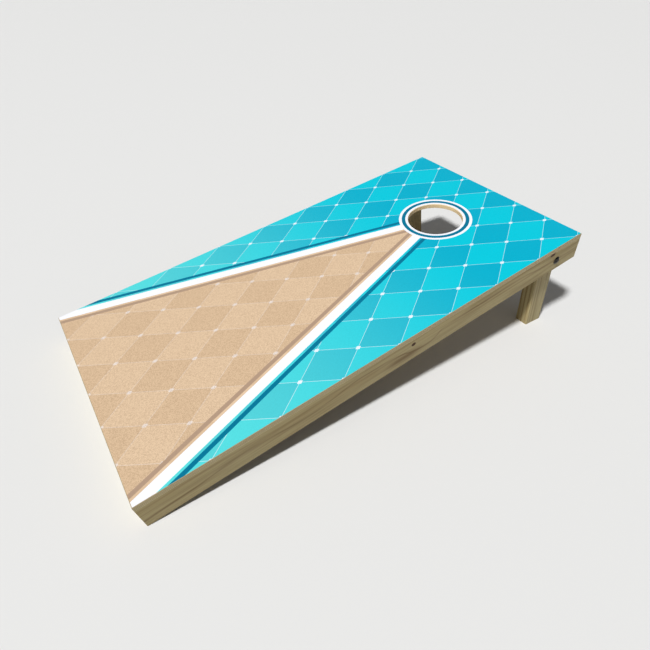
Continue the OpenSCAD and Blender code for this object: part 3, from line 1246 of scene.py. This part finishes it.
@dataclass
class RailFrame(SubAssembly):
    """The rails and the brace under the deck.

    Attributes:
        ease: width of the timbers' broken edges.
        rails: the timbers.
    """

    ease: float = 0.0005
    rails: tuple[Rail, ...] = (
        Rail(
            "right_side_rail",
            Grain.ALONG,
            Sawing(
                pith=(0.050, -0.006),
                drift=0.010,
                offset=0.3,
                ring=0.0105,
                figure=0.36,
                knots=(
                    Knot(0.641, 0.0485, radius=0.0052, swirl=0.016),
                    Knot(1.111, 0.0590, radius=0.0046, swirl=0.012, stretch=2.2),
                ),
                streaks=(
                    Streak(
                        (
                            (0.0, 0.021), (0.10, 0.0255), (0.206, 0.035), (0.375, 0.030), (0.50, 0.0444),
                            (0.585, 0.041), (0.64, 0.027), (0.68, 0.022), (0.735, 0.042), (0.85, 0.044),
                            (1.0, 0.047), (1.07, 0.038), (1.22, 0.036),
                        ),
                        half_width=0.0050,
                        strength=0.50,
                    ),
                    Streak(
                        ((0.0, 0.020), (0.62, 0.023), (1.22, 0.018)),
                        half_width=0.020,
                        strength=0.62,
                        ends=(0.570, 0.655),
                    ),
                    Streak(
                        ((0.0, 0.034), (0.20, 0.037), (1.22, 0.034)),
                        half_width=0.012,
                        strength=0.42,
                        ends=(0.160, 0.245),
                    ),
                ),
            ),
        ),
        Rail("left_side_rail", Grain.ALONG, Sawing((-0.065, -0.018), drift=0.014, offset=2.1)),
        Rail("foot_rail", Grain.ACROSS, Sawing((0.060, -0.012), drift=0.010, offset=4.4)),
        Rail("rear_rail", Grain.ACROSS, Sawing((-0.052, 0.014), drift=0.016, offset=6.2)),
        Rail("centre_brace", Grain.ACROSS, Sawing((0.058, 0.0), drift=0.013, offset=8.7)),
    )

    def build(self) -> list[str]:
        """Sands each rail and gives it its own cut of pine.

        Returns:
            The pieces' names.
        """
        names = []
        for rail in self.rails:
            mesh = sanded_copy(rail.node, self.ease)
            piece = f"{rail.node}_timber"
            names.append(add_piece(piece, mesh, rail.finish(), Body.BOARD, Slot.PINE, rail.node))
        return names


@dataclass
class FoldingLeg(SubAssembly):
    """A leg that folds up under the deck.

    Attributes:
        side: the side of the board it stands on.
        ease: width of its broken edges.
        pith: where the heart of the tree lay, from the pivot: out from the board and across the leg.
        drift: how much the growth rings move outwards down the leg.
        offset: where along the tree the two legs were cut, one on each side of it.
    """

    side: Side
    ease: float = 0.0006
    pith: tuple[float, float] = (0.045, 0.012)
    drift: float = 0.02
    offset: float = 10.0

    def build(self) -> list[str]:
        """Sands the leg and gives it its own cut of pine.

        Returns:
            The piece's name.
        """
        node = f"{self.side.word}_leg"
        out, across = self.pith
        sign = self.side.value
        sawing = Sawing((out * sign, across), self.drift, self.offset + sign)
        wood = PineFinish(f"{node}_pine", self._axes(), (0.0, 0.0), sawing)
        body = Body[f"{self.side.name}_LEG"]
        mesh = sanded_copy(node, self.ease)
        return [add_piece(f"{node}_timber", mesh, wood.make(), body, Slot.PINE, node)]

    def _axes(self) -> Matrix:
        """Finds the leg's axes: down the leg from its pivot, across the board and across the leg.

        Returns:
            From the row frame to those axes.
        """
        pivot = pivot_of(self.side)
        foot = Vector(mount(f"{self.side.word}_foot")["pos_m"])
        down = (foot - pivot).normalized()
        across = Vector((0, 1, 0))
        turn = Matrix((down, across, down.cross(across))).to_4x4()
        return turn @ Matrix.Translation(-pivot)


@dataclass(frozen=True)
class Turned:
    """What a turned CAD node measures about its pivot's axis.

    Attributes:
        start: its outer end.
        end: its inner end.
        inner: its least radius.
        outer: its greatest radius.
    """

    start: float
    end: float
    inner: float
    outer: float


def round_ring(height: float, radius: float) -> Ring:
    """A round ring."""
    return height, lambda _: radius


def square_ring(height: float, half_width: float) -> Ring:
    """A square ring."""
    return height, lambda angle: half_width / max(abs(math.cos(angle)), abs(math.sin(angle)))


def hexagon_ring(height: float, half_width: float, limit: float) -> Ring:
    """A hexagonal ring, given half its width over the flats, with its corners cut to a radius."""
    middle = HEXAGON_TURN / 2
    return height, lambda angle: min(limit, half_width / math.cos(angle % HEXAGON_TURN - middle))


def soft_section(size: Turned, ease: float) -> list[Ring]:
    """Rings of a flat ring whose four edges are rounded.

    Args:
        size: the flat ring's sizes.
        ease: radius of its edges.
    Returns:
        The rings in order round the section.
    """
    inner, outer = size.inner + ease, size.outer - ease
    low, high = size.start + ease, size.end - ease
    rings = []
    for turn, (radius, height) in enumerate(((outer, low), (outer, high), (inner, high), (inner, low))):
        for share in shares(ROUNDING_STEPS):
            angle = QUARTER_TURN * (turn - 1 + share)
            rings.append(round_ring(height + ease * math.sin(angle), radius + ease * math.cos(angle)))
    return rings


def stack_rings(
    rings: Iterable[Ring], axes: Matrix, steps: int, hollow: bool, name: str
) -> bpy.types.Mesh:
    """Skins a stack of rings about an axis.

    Args:
        rings: the rings in order, each with its height and its radius at every angle.
        axes: the stack's place, with its axis along +Z.
        steps: corners in a ring.
        hollow: whether the last ring joins the first one, or each end is closed.
        name: the mesh's name.
    Returns:
        The closed mesh.
    """
    shape = bmesh.new()
    angles = [math.tau * step / steps for step in range(steps)]
    loops = [
        [shape.verts.new(axes @ Vector((r(a) * math.cos(a), r(a) * math.sin(a), height))) for a in angles]
        for height, r in rings
    ]
    for lower, upper in zip(loops, loops[1:] + loops[:1] if hollow else loops[1:]):
        for i in range(steps):
            shape.faces.new((lower[i - 1], lower[i], upper[i], upper[i - 1]))
    if not hollow:
        shape.faces.new(loops[0])
        shape.faces.new(loops[-1])
    bmesh.ops.remove_doubles(shape, verts=shape.verts, dist=WELD)
    bmesh.ops.recalc_face_normals(shape, faces=shape.faces)
    return mesh_of(shape, name)


@dataclass
class PivotHardware(SubAssembly):
    """The bolt, washers and lock nut that a leg turns on, drawn from the rail's outer face inwards.

    Attributes:
        side: the side of the board.
        finishes: the shared finishes.
        rim_height: height of the rim under the bolt head's dome.
        neck_length: length of the bolt's square neck.
        thread_length: length of the bolt's thread.
        thread_pitch: rise of the thread in a turn.
        thread_depth: depth of the thread's groove.
        end_chamfer: chamfer at the bolt's end.
        hex_height: height of the nut's hexagon.
        hex_chamfer: how far a bevel cuts into the hexagon's lower corners, and into the bore.
        lip_roll: radius of the nut's rolled lip.
        washer_ease: radius of the washers' edges.
        ring_ease: radius of the locking ring's edges.
        room: play round the locking ring.
        axes: the pivot's place on the rail's outer face, with its axis inwards along +Z.
    """

    side: Side
    finishes: dict[Slot, bpy.types.Material]
    rim_height: float = 0.0008
    neck_length: float = 0.006
    thread_length: float = 0.028
    thread_pitch: float = 0.0016
    thread_depth: float = 0.0008
    end_chamfer: float = 0.0008
    hex_height: float = 0.0076
    hex_chamfer: float = 0.0007
    lip_roll: float = 0.0008
    washer_ease: float = 0.0004
    ring_ease: float = 0.0002
    room: float = 0.00005
    axes: Matrix = field(init=False)

    STEPS: ClassVar[int] = 96
    DOME_STEPS: ClassVar[int] = 12
    THREAD_STEPS: ClassVar[int] = 8
    FOOT_STEPS: ClassVar[int] = 3
    BROW_STEPS: ClassVar[int] = 8
    ROLL_STEPS: ClassVar[int] = 5
    # The groove is deepest over a tenth of the pitch, and runs out over half of it
    GROOVE_TOP: ClassVar[float] = 1.25
    GROOVE_SLOPE: ClassVar[float] = 5.0
    BEVEL: ClassVar[float] = math.tan(math.radians(30))

    def __post_init__(self) -> None:
        """Finds the pivot's axis on the rail's outer face."""
        low, high = BOARD.box(f"{self.side.word}_side_rail")
        pivot = BOARD.inverse @ pivot_of(self.side)
        pivot.y = high.y if self.side is Side.LEFT else low.y
        inward = Vector((0, -self.side.value, 0))
        along = Vector((1, 0, 0))
        turn = Matrix((along, inward.cross(along), inward)).transposed().to_4x4()
        self.axes = BOARD.matrix @ Matrix.Translation(pivot) @ turn

    def build(self) -> list[str]:
        """Builds and dresses every piece on the pivot.

        Returns:
            The pieces' names.
        """
        spacer = soft_section(self._measure("spacer_washer"), self.washer_ease)
        washer = soft_section(self._measure("nut_washer"), self.washer_ease)
        ring = soft_section(self._measure("nylon_insert"), self.ring_ease)
        return [
            self._piece("carriage_bolt", "pivot_bolt", self._bolt_rings(), Slot.DARK_STEEL, hollow=False),
            self._piece("spacer_washer_plate", "spacer_washer", spacer, Slot.ZINC),
            self._piece("nut_washer_plate", "nut_washer", washer, Slot.ZINC),
            self._piece("lock_nut_hex", "lock_nut", self._nut_rings(), Slot.ZINC),
            self._piece("locking_ring", "nylon_insert", ring, Slot.NYLON),
        ]

    def _piece(self, name: str, node: str, rings: Iterable[Ring], slot: Slot, hollow: bool = True) -> str:
        """Skins rings about the pivot and puts the piece in the place of its CAD node.

        Args:
            name: the piece's name without its side.
            node: the CAD node's name without its side.
            rings: the piece's rings.
            slot: the slot that gives its finish.
            hollow: whether it has a bore.
        Returns:
            The piece's whole name.
        """
        piece = f"{self.side.word}_{name}"
        mesh = stack_rings(rings, self.axes, self.STEPS, hollow, piece)
        return add_piece(piece, mesh, self.finishes[slot], Body.BOARD, slot, f"{self.side.word}_{node}")

    def _measure(self, piece: str, beyond: float = -math.inf) -> Turned:
        """Measures a turned node about the pivot.

        Args:
            piece: the node's name without its side.
            beyond: the depth past which it is measured.
        Returns:
            Its sizes.
        """
        data = frame["nodes"][f"{self.side.word}_{piece}"].data
        places = [self.axes.inverted() @ v.co for v in data.vertices]
        depths, radii = zip(*((p.z, p.xy.length) for p in places if p.z > beyond))
        return Turned(min(depths), max(depths), min(radii), max(radii))

    def _bolt_rings(self) -> list[Ring]:
        """The carriage bolt: a domed head, a square neck, a plain shank and a rolled thread.

        Returns:
            Its rings from the top of the dome to the end of the thread.
        """
        size = self._measure("pivot_bolt")
        shank = self._measure("pivot_bolt", size.end - 2 * self.end_chamfer).outer
        dome = -size.start - self.rim_height
        crown = (size.outer**2 + dome**2) / (2 * dome)
        widest = math.asin(size.outer / crown)
        angles = [widest * share for share in shares(self.DOME_STEPS)[1:]]
        thread_start = size.end - self.thread_length
        return [
            *(round_ring(size.start + crown * (1 - math.cos(a)), crown * math.sin(a)) for a in angles),
            round_ring(0.0, size.outer),
            square_ring(0.0, shank),
            square_ring(self.neck_length, shank),
            round_ring(self.neck_length, shank),
            round_ring(thread_start, shank),
            *self._thread_rings(thread_start, size.end, shank),
        ]

    def _thread_rings(self, start: float, end: float, radius: float) -> list[Ring]:
        """A thread that fades in at its start and is chamfered at its end.

        Args:
            start: where it begins.
            end: where it ends.
            radius: its outer radius.
        Returns:
            Its rings.
        """
        count = round((end - start) / self.thread_pitch * self.THREAD_STEPS)
        rings = []
        for share in shares(count)[1:]:
            depth = start + (end - start) * share
            deepest = self.thread_depth * min(1.0, (depth - start) / self.thread_pitch)
            limit = radius - max(0.0, depth - end + self.end_chamfer)
            rings.append((depth, partial(self._thread_radius, depth, radius, deepest, limit)))
        return rings

    def _thread_radius(
        self, depth: float, radius: float, deepest: float, limit: float, angle: float
    ) -> float:
        """The thread's radius at a depth and an angle.

        Args:
            depth: the depth.
            radius: the thread's outer radius.
            deepest: how deep its groove is.
            limit: the greatest radius that the end's chamfer leaves.
            angle: the angle.
        Returns:
            The radius.
        """
        turn = (depth / self.thread_pitch - angle / math.tau) % 1.0
        groove = min(1.0, max(0.0, self.GROOVE_TOP - self.GROOVE_SLOPE * abs(turn - 0.5)))
        return min(limit, radius - deepest * groove)

    def _nut_rings(self) -> list[Ring]:
        """The lock nut: a bevelled hexagon and a collar rolled in over its ring.

        Returns:
            Its rings up the outside and back down the bore.
        """
        size = self._measure("lock_nut")
        insert = self._measure("nylon_insert")
        shoulder = size.start + self.hex_height
        collar = self._measure("lock_nut", shoulder + self.room).outer
        lip = self._measure("lock_nut", size.end - self.room).inner
        flats = size.outer * math.cos(HEXAGON_TURN / 2)
        foot = self.hex_chamfer * self.BEVEL
        slant = size.outer - collar
        low, high, groove = insert.start - self.room, insert.end + self.room, insert.outer + self.room
        rings = []
        for share in shares(self.FOOT_STEPS):
            limit = size.outer - self.hex_chamfer * (1 - share)
            rings.append(hexagon_ring(size.start + foot * share, flats, limit))
        for share in shares(self.BROW_STEPS):
            depth = shoulder - slant * self.BEVEL * (1 - share)
            rings.append(hexagon_ring(depth, flats, size.outer - slant * share))
        for angle in (QUARTER_TURN * share for share in shares(self.ROLL_STEPS)):
            depth = size.end - self.lip_roll * (1 - math.sin(angle))
            rings.append(round_ring(depth, collar - self.lip_roll * (1 - math.cos(angle))))
        bore = (
            (size.end, lip), (high, lip), (high, groove), (low, groove), (low, size.inner),
            (size.start + foot, size.inner), (size.start, size.inner + self.hex_chamfer),
        )
        return rings + [round_ring(*ring) for ring in bore]


class HeadStyle(Enum):
    """The head of a wood screw, with its height."""

    COUNTERSUNK = 0.0026
    WASHER = 0.0022


@dataclass(frozen=True)
class ScrewSizes:
    """A wood screw's sizes, as plain numbers or as the inputs of its node tree.

    Attributes:
        head_radius: radius of its head.
        head_height: height of its head.
        length: its whole length.
        root_radius: radius of its shank under the thread.
        point_length: length of its point.
        thread_pitch: rise of its thread in a turn.
        thread_rise: how far its thread stands out.
        recess_width: width of its square recess.
        recess_depth: depth of its recess.
    """

    head_radius: Size
    head_height: Size
    length: Size
    root_radius: Size = 0.0015
    point_length: Size = 0.006
    thread_pitch: Size = 0.0024
    thread_rise: Size = 0.0007
    recess_width: Size = 0.0028
    recess_depth: Size = 0.0016


class ScrewTree(Tree):
    """A node tree that shapes one wood screw and sets a copy of it on every seat."""

    SIDES: ClassVar[int] = 24
    TURN_STEPS: ClassVar[int] = 14
    RIDGE_SIDES: ClassVar[int] = 4
    # Shares of a washer head's height and radius
    FLANGE_SHARE: ClassVar[float] = 0.4
    CROWN_WIDE: ClassVar[float] = 0.8
    CROWN_NARROW: ClassVar[float] = 0.62
    # Shares of the head's height that the shank enters, of its radius at the tip, of the shank that is
    # threaded, and of the point that the thread stays clear of
    SHANK_ENTRY: ClassVar[float] = 0.5
    TIP_SHARE: ClassVar[float] = 0.05
    THREAD_SHARE: ClassVar[float] = 0.72
    POINT_CLEAR: ClassVar[float] = 0.2

    def __init__(self, name: str, style: HeadStyle) -> None:
        """Builds the tree.

        Args:
            name: the tree's name.
            style: the shape of the screws' heads.
        """
        super().__init__(bpy.data.node_groups.new(name, "GeometryNodeTree"))
        self.style = style
        sizes = [size.name for size in fields(ScrewSizes)]
        kinds = {"seats": "Geometry", **dict.fromkeys(sizes, "Float"), "seed": "Int", "finish": "Material"}
        for socket, kind in kinds.items():
            self.tree.interface.new_socket(socket, in_out="INPUT", socket_type=f"NodeSocket{kind}")
        self.tree.interface.new_socket("screws", in_out="OUTPUT", socket_type="NodeSocketGeometry")
        self.given = self.add("NodeGroupInput").outputs
        self.size = ScrewSizes(*(Number(self, self.given[size]) for size in sizes))
        self.add("NodeGroupOutput", {"screws": self._set(self._screw())})

    def _set(self, screw: Socket) -> Socket:
        """Sets a copy of the screw on every seat, each with a turn of its own.

        Args:
            screw: the screw's geometry.
        Returns:
            All the screws, with their finish.
        """
        up = self.add("GeometryNodeInputNamedAttribute", {"Name": "up"}, data_type="FLOAT_VECTOR")
        upright = self.add("FunctionNodeAlignRotationToVector", {"Vector": up.outputs[0]}, axis="Z")
        draw = self.add("FunctionNodeRandomValue", data_type="FLOAT")
        self.feed(draw.inputs["Seed"], self.given["seed"])
        angle = Number(self, draw.outputs["Value"]) * math.tau
        spin = self.add("FunctionNodeAxisAngleToRotation", {"Axis": (0, 0, 1), "Angle": angle})
        inputs = {"Rotation": upright.outputs[0], "Rotate By": spin.outputs[0]}
        turned = self.add("FunctionNodeRotateRotation", inputs, rotation_space="LOCAL")
        inputs = {"Points": self.given["seats"], "Instance": screw, "Rotation": turned.outputs[0]}
        placed = self.add("GeometryNodeInstanceOnPoints", inputs)
        real = self.add("GeometryNodeRealizeInstances", {"Geometry": placed.outputs[0]})
        inputs = {"Geometry": real.outputs[0], "Material": self.given["finish"]}
        return self.add("GeometryNodeSetMaterial", inputs).outputs[0]

    def _screw(self) -> Socket:
        """Shapes one screw, with the top of its head at the origin and its point below.

        Returns:
            The screw's geometry.
        """
        size = self.size
        shank_end = size.point_length - size.length
        shank = -shank_end - size.head_height * self.SHANK_ENTRY
        tip = size.root_radius * self.TIP_SHARE
        parts = [
            *self._head(),
            self._frustum(size.root_radius, size.root_radius, shank_end, shank),
            self._frustum(tip, size.root_radius, -size.length, size.point_length),
            self._thread(shank_end),
        ]
        whole = self.add("GeometryNodeMeshBoolean", operation="UNION", solver="EXACT")
        for part in parts:
            self.feed(whole.inputs["Mesh 2"], part)
        recess = self.combine(size.recess_width, size.recess_width, size.recess_depth * 2.0)
        bit = self.add("GeometryNodeMeshCube", {"Size": recess})
        driven = self.add("GeometryNodeMeshBoolean", operation="DIFFERENCE", solver="EXACT")
        self.feed(driven.inputs["Mesh 1"], whole.outputs["Mesh"])
        self.feed(driven.inputs["Mesh 2"], bit.outputs["Mesh"])
        return driven.outputs["Mesh"]

    def _head(self) -> list[Socket]:
        """Shapes the head.

        Returns:
            The head's parts.
        """
        wide, height = self.size.head_radius, self.size.head_height
        if self.style is HeadStyle.COUNTERSUNK:
            return [self._frustum(self.size.root_radius, wide, -height, height)]
        crown = height * self.FLANGE_SHARE
        return [
            self._frustum(wide, wide, -height, height - crown),
            self._frustum(wide * self.CROWN_WIDE, wide * self.CROWN_NARROW, -crown, crown),
        ]

    def _thread(self, shank_end: Number) -> Socket:
        """Winds the thread round the shank.

        Args:
            shank_end: height of the shank's lower end.
        Returns:
            The thread's geometry.
        """
        run = shank_end * -self.THREAD_SHARE
        inputs = {
            "Resolution": self.TURN_STEPS,
            "Rotations": run / self.size.thread_pitch,
            "Start Radius": self.size.root_radius,
            "End Radius": self.size.root_radius,
            "Height": run,
        }
        helix = self.add("GeometryNodeCurveSpiral", inputs).outputs[0]
        inputs = {"Resolution": self.RIDGE_SIDES, "Radius": self.size.thread_rise}
        section = self.add("GeometryNodeCurvePrimitiveCircle", inputs).outputs[0]
        inputs = {"Curve": helix, "Profile Curve": section, "Fill Caps": True}
        ridge = self.add("GeometryNodeCurveToMesh", inputs).outputs[0]
        return self._raised(ridge, shank_end + self.size.point_length * self.POINT_CLEAR)

    def _frustum(self, below: Number, above: Number, low: Number, height: Number) -> Socket:
        """A frustum, by the radii of its lower and upper end, its place and its height."""
        inputs = {"Vertices": self.SIDES, "Radius Bottom": below, "Radius Top": above, "Depth": height}
        return self._raised(self.add("GeometryNodeMeshCone", inputs).outputs["Mesh"], low)

    def _raised(self, shape: Socket, height: Number) -> Socket:
        """Moves a shape up by a height."""
        inputs = {"Geometry": shape, "Translation": self.combine(z=height)}
        return self.add("GeometryNodeTransform", inputs).outputs[0]


@dataclass(frozen=True)
class Seat:
    """A screw's place.

    Attributes:
        top: the middle of its head's top.
        up: the way out of its head.
        length: its whole length.
        head: its head's radius.
    """

    top: Vector
    up: Vector
    length: float
    head: float


@dataclass
class ScrewSet(SubAssembly):
    """Wood screws of one size, set by a node tree where the CAD screws are.

    Attributes:
        node: the CAD node that holds the screws.
        style: their heads' shape.
        material: their finish.
        seed: what the turn of each screw is drawn from.
    """

    node: str
    style: HeadStyle
    material: bpy.types.Material
    seed: int

    def build(self) -> list[str]:
        """Sets the screws and puts them in the CAD screws' place.

        Returns:
            The piece's name.
        """
        seats = self._seats()
        points = bpy.data.meshes.new(f"{self.node}_seats")
        points.from_pydata([seat.top for seat in seats], [], [])
        ups = points.attributes.new("up", "FLOAT_VECTOR", "POINT")
        ups.data.foreach_set("vector", [value for seat in seats for value in seat.up])
        carrier = bpy.data.objects.new(f"{self.node}_seats", points)
        modifier = carrier.modifiers.new("screws", "NODES")
        modifier.node_group = ScrewTree(f"{self.node}_tree", self.style).tree
        sizes = ScrewSizes(seats[0].head, self.style.value, seats[0].length)
        sockets = {item.name: item.identifier for item in modifier.node_group.interface.items_tree}
        for name, value in {**asdict(sizes), "seed": self.seed, "finish": self.material}.items():
            modifier[sockets[name]] = value
        mesh = smooth(evaluated_mesh(carrier))
        return [add_piece(f"{self.node}_set", mesh, self.material, Body.BOARD, Slot.ZINC, self.node)]

    def _seats(self) -> list[Seat]:
        """Finds each CAD screw's place and size.

        Returns:
            The seats, in the order of the CAD screws.
        """
        shape = welded_copy(self.node)
        unseen = dict.fromkeys(shape.verts)
        seats = []
        while unseen:
            island, waiting = [], [next(iter(unseen))]
            unseen.pop(waiting[0])
            while waiting:
                corner = waiting.pop()
                island.append(corner.co.copy())
                for edge in corner.link_edges:
                    other = edge.other_vert(corner)
                    if other in unseen:
                        unseen.pop(other)
                        waiting.append(other)
            seats.append(self._seat(np.array(island)))
        shape.free()
        return seats

    @staticmethod
    def _seat(corners: np.ndarray) -> Seat:
        """Measures one CAD screw.

        Args:
            corners: the screw's corners.
        Returns:
            Its seat.
        """
        middle = corners.mean(0)
        axis = np.linalg.svd(corners - middle, full_matrices=False)[2][0]
        heights = (corners - middle) @ axis
        radii = np.linalg.norm(corners - middle - np.outer(heights, axis), axis=1)
        if heights[radii.argmax()] < 0:
            axis, heights = -axis, -heights
        top = middle + axis * heights.max()
        return Seat(Vector(top), Vector(axis), float(np.ptp(heights)), float(radii.max()))


@dataclass
class Studio:
    """The camera, the light and the floor.

    Attributes:
        eye: where the camera stands.
        heading: the way it looks on the floor plan, in degrees from +X.
        pitch: how far it looks up, in degrees.
        roll: how far it leans, in degrees.
        lens: its focal length in millimetres.
        shift: how far the picture is shifted, as shares of its width.
        key_from: the direction that the key light comes from.
        key_spread: how wide the key light looks from the board, in degrees.
        key_strength: the key light on a surface that faces it.
        glow: brightness of the soft light, from the horizon up.
        backdrop: brightness of the even backdrop that the camera sees.
    """

    eye: tuple[float, float, float] = (-0.6057, -0.8209, 0.8495)
    heading: float = 52.462
    pitch: float = -39.223
    roll: float = 4.797
    lens: float = 25.936
    shift: tuple[float, float] = (-0.0095, 0.0018)
    key_from: tuple[float, float, float] = (-0.62, -0.17, 0.77)
    key_spread: float = 5.0
    key_strength: float = 3.15
    glow: Ease = Ease(0.0, 0.45, at_end=0.14, at_start=0.6)
    backdrop: float = 0.67

    SENSOR: ClassVar[float] = 36.0
    FLOOR_REACH: ClassVar[float] = 30.0
    FLOOR_PAINT: ClassVar[Colour] = srgb(224, 224, 223)
    FLOOR_ROUGH: ClassVar[float] = 0.7
    FLOOR_SHEEN: ClassVar[float] = 0.2

    def build(self) -> None:
        """Sets up the whole studio."""
        self._camera()
        self._floor()
        self._light()
        bpy.context.scene.view_settings.view_transform = "Standard"
        bpy.context.scene.view_settings.look = "Medium High Contrast"

    def _camera(self) -> None:
        """Places the camera where the photograph was taken from."""
        heading, pitch, roll = (math.radians(turn) for turn in (self.heading, self.pitch, self.roll))
        flat = math.cos(pitch)
        look = Vector((flat * math.cos(heading), flat * math.sin(heading), math.sin(pitch)))
        data = bpy.data.cameras.new("photo_camera")
        data.sensor_width = self.SENSOR
        data.lens = self.lens
        data.shift_x, data.shift_y = self.shift
        camera = bpy.data.objects.new("photo_camera", data)
        camera.location = self.eye
        camera.rotation_mode = "QUATERNION"
        camera.rotation_quaternion = look.to_track_quat("-Z", "Y") @ Quaternion((0, 0, 1), roll)
        bpy.context.scene.collection.objects.link(camera)
        bpy.context.scene.camera = camera

    def _floor(self) -> None:
        """Lays a plain pale floor."""
        reach = self.FLOOR_REACH
        mesh = bpy.data.meshes.new("floor")
        corners = [(x * reach, y * reach, 0) for x, y in ((-1, -1), (1, -1), (1, 1), (-1, 1))]
        mesh.from_pydata(corners, [], [range(len(corners))])
        looks = {"Base_Color": self.FLOOR_PAINT, "Roughness": self.FLOOR_ROUGH}
        paint = Shading("floor_paint").finish(**looks, Specular_IOR_Level=self.FLOOR_SHEEN)
        mesh.materials.append(paint)
        floor = bpy.data.objects.new("floor", mesh)
        bpy.context.scene.collection.objects.link(floor)

    def _light(self) -> None:
        """Hangs the key light and sets a soft light around an even backdrop."""
        world = bpy.data.worlds.new("studio")
        world.use_nodes = True
        sky = Tree(world.node_tree)
        _, _, height = sky.separate(sky.add("ShaderNodeTexCoord").outputs["Generated"])
        glow = sky.ease(height, self.glow)
        seen = Number(sky, sky.add("ShaderNodeLightPath").outputs["Is Camera Ray"])
        background = world.node_tree.nodes["Background"]
        sky.feed(background.inputs["Color"], (1.0, 1.0, 1.0, 1.0))
        sky.feed(background.inputs["Strength"], glow + seen * (self.backdrop - glow))
        bpy.context.scene.world = world
        data = bpy.data.lights.new("key", "SUN")
        data.energy = self.key_strength
        data.angle = math.radians(self.key_spread)
        key = bpy.data.objects.new("key", data)
        key.rotation_mode = "QUATERNION"
        key.rotation_quaternion = Vector(self.key_from).to_track_quat("Z", "Y")
        bpy.context.scene.collection.objects.link(key)


def main() -> None:
    """Sets up the studio, builds every sub-assembly in order and reports its pieces."""
    logging.basicConfig(level=logging.INFO, format="%(name)s: %(message)s")
    finishes = shared_finishes()
    screws = {
        "deck_screws": HeadStyle.COUNTERSUNK,
        "frame_pocket_screws": HeadStyle.WASHER,
        "brace_pocket_screws": HeadStyle.WASHER,
    }
    Studio().build()
    parts: list[SubAssembly] = [Deck(), RailFrame()]
    for side in Side:
        parts += [FoldingLeg(side), PivotHardware(side, finishes)]
    for seed, (node, style) in enumerate(screws.items()):
        parts.append(ScrewSet(node, style, finishes[Slot.ZINC], seed))
    for part in parts:
        for piece in part.build():
            LOG.info("%s: %s", type(part).__name__, piece)


if __name__ == "__main__":
    main()
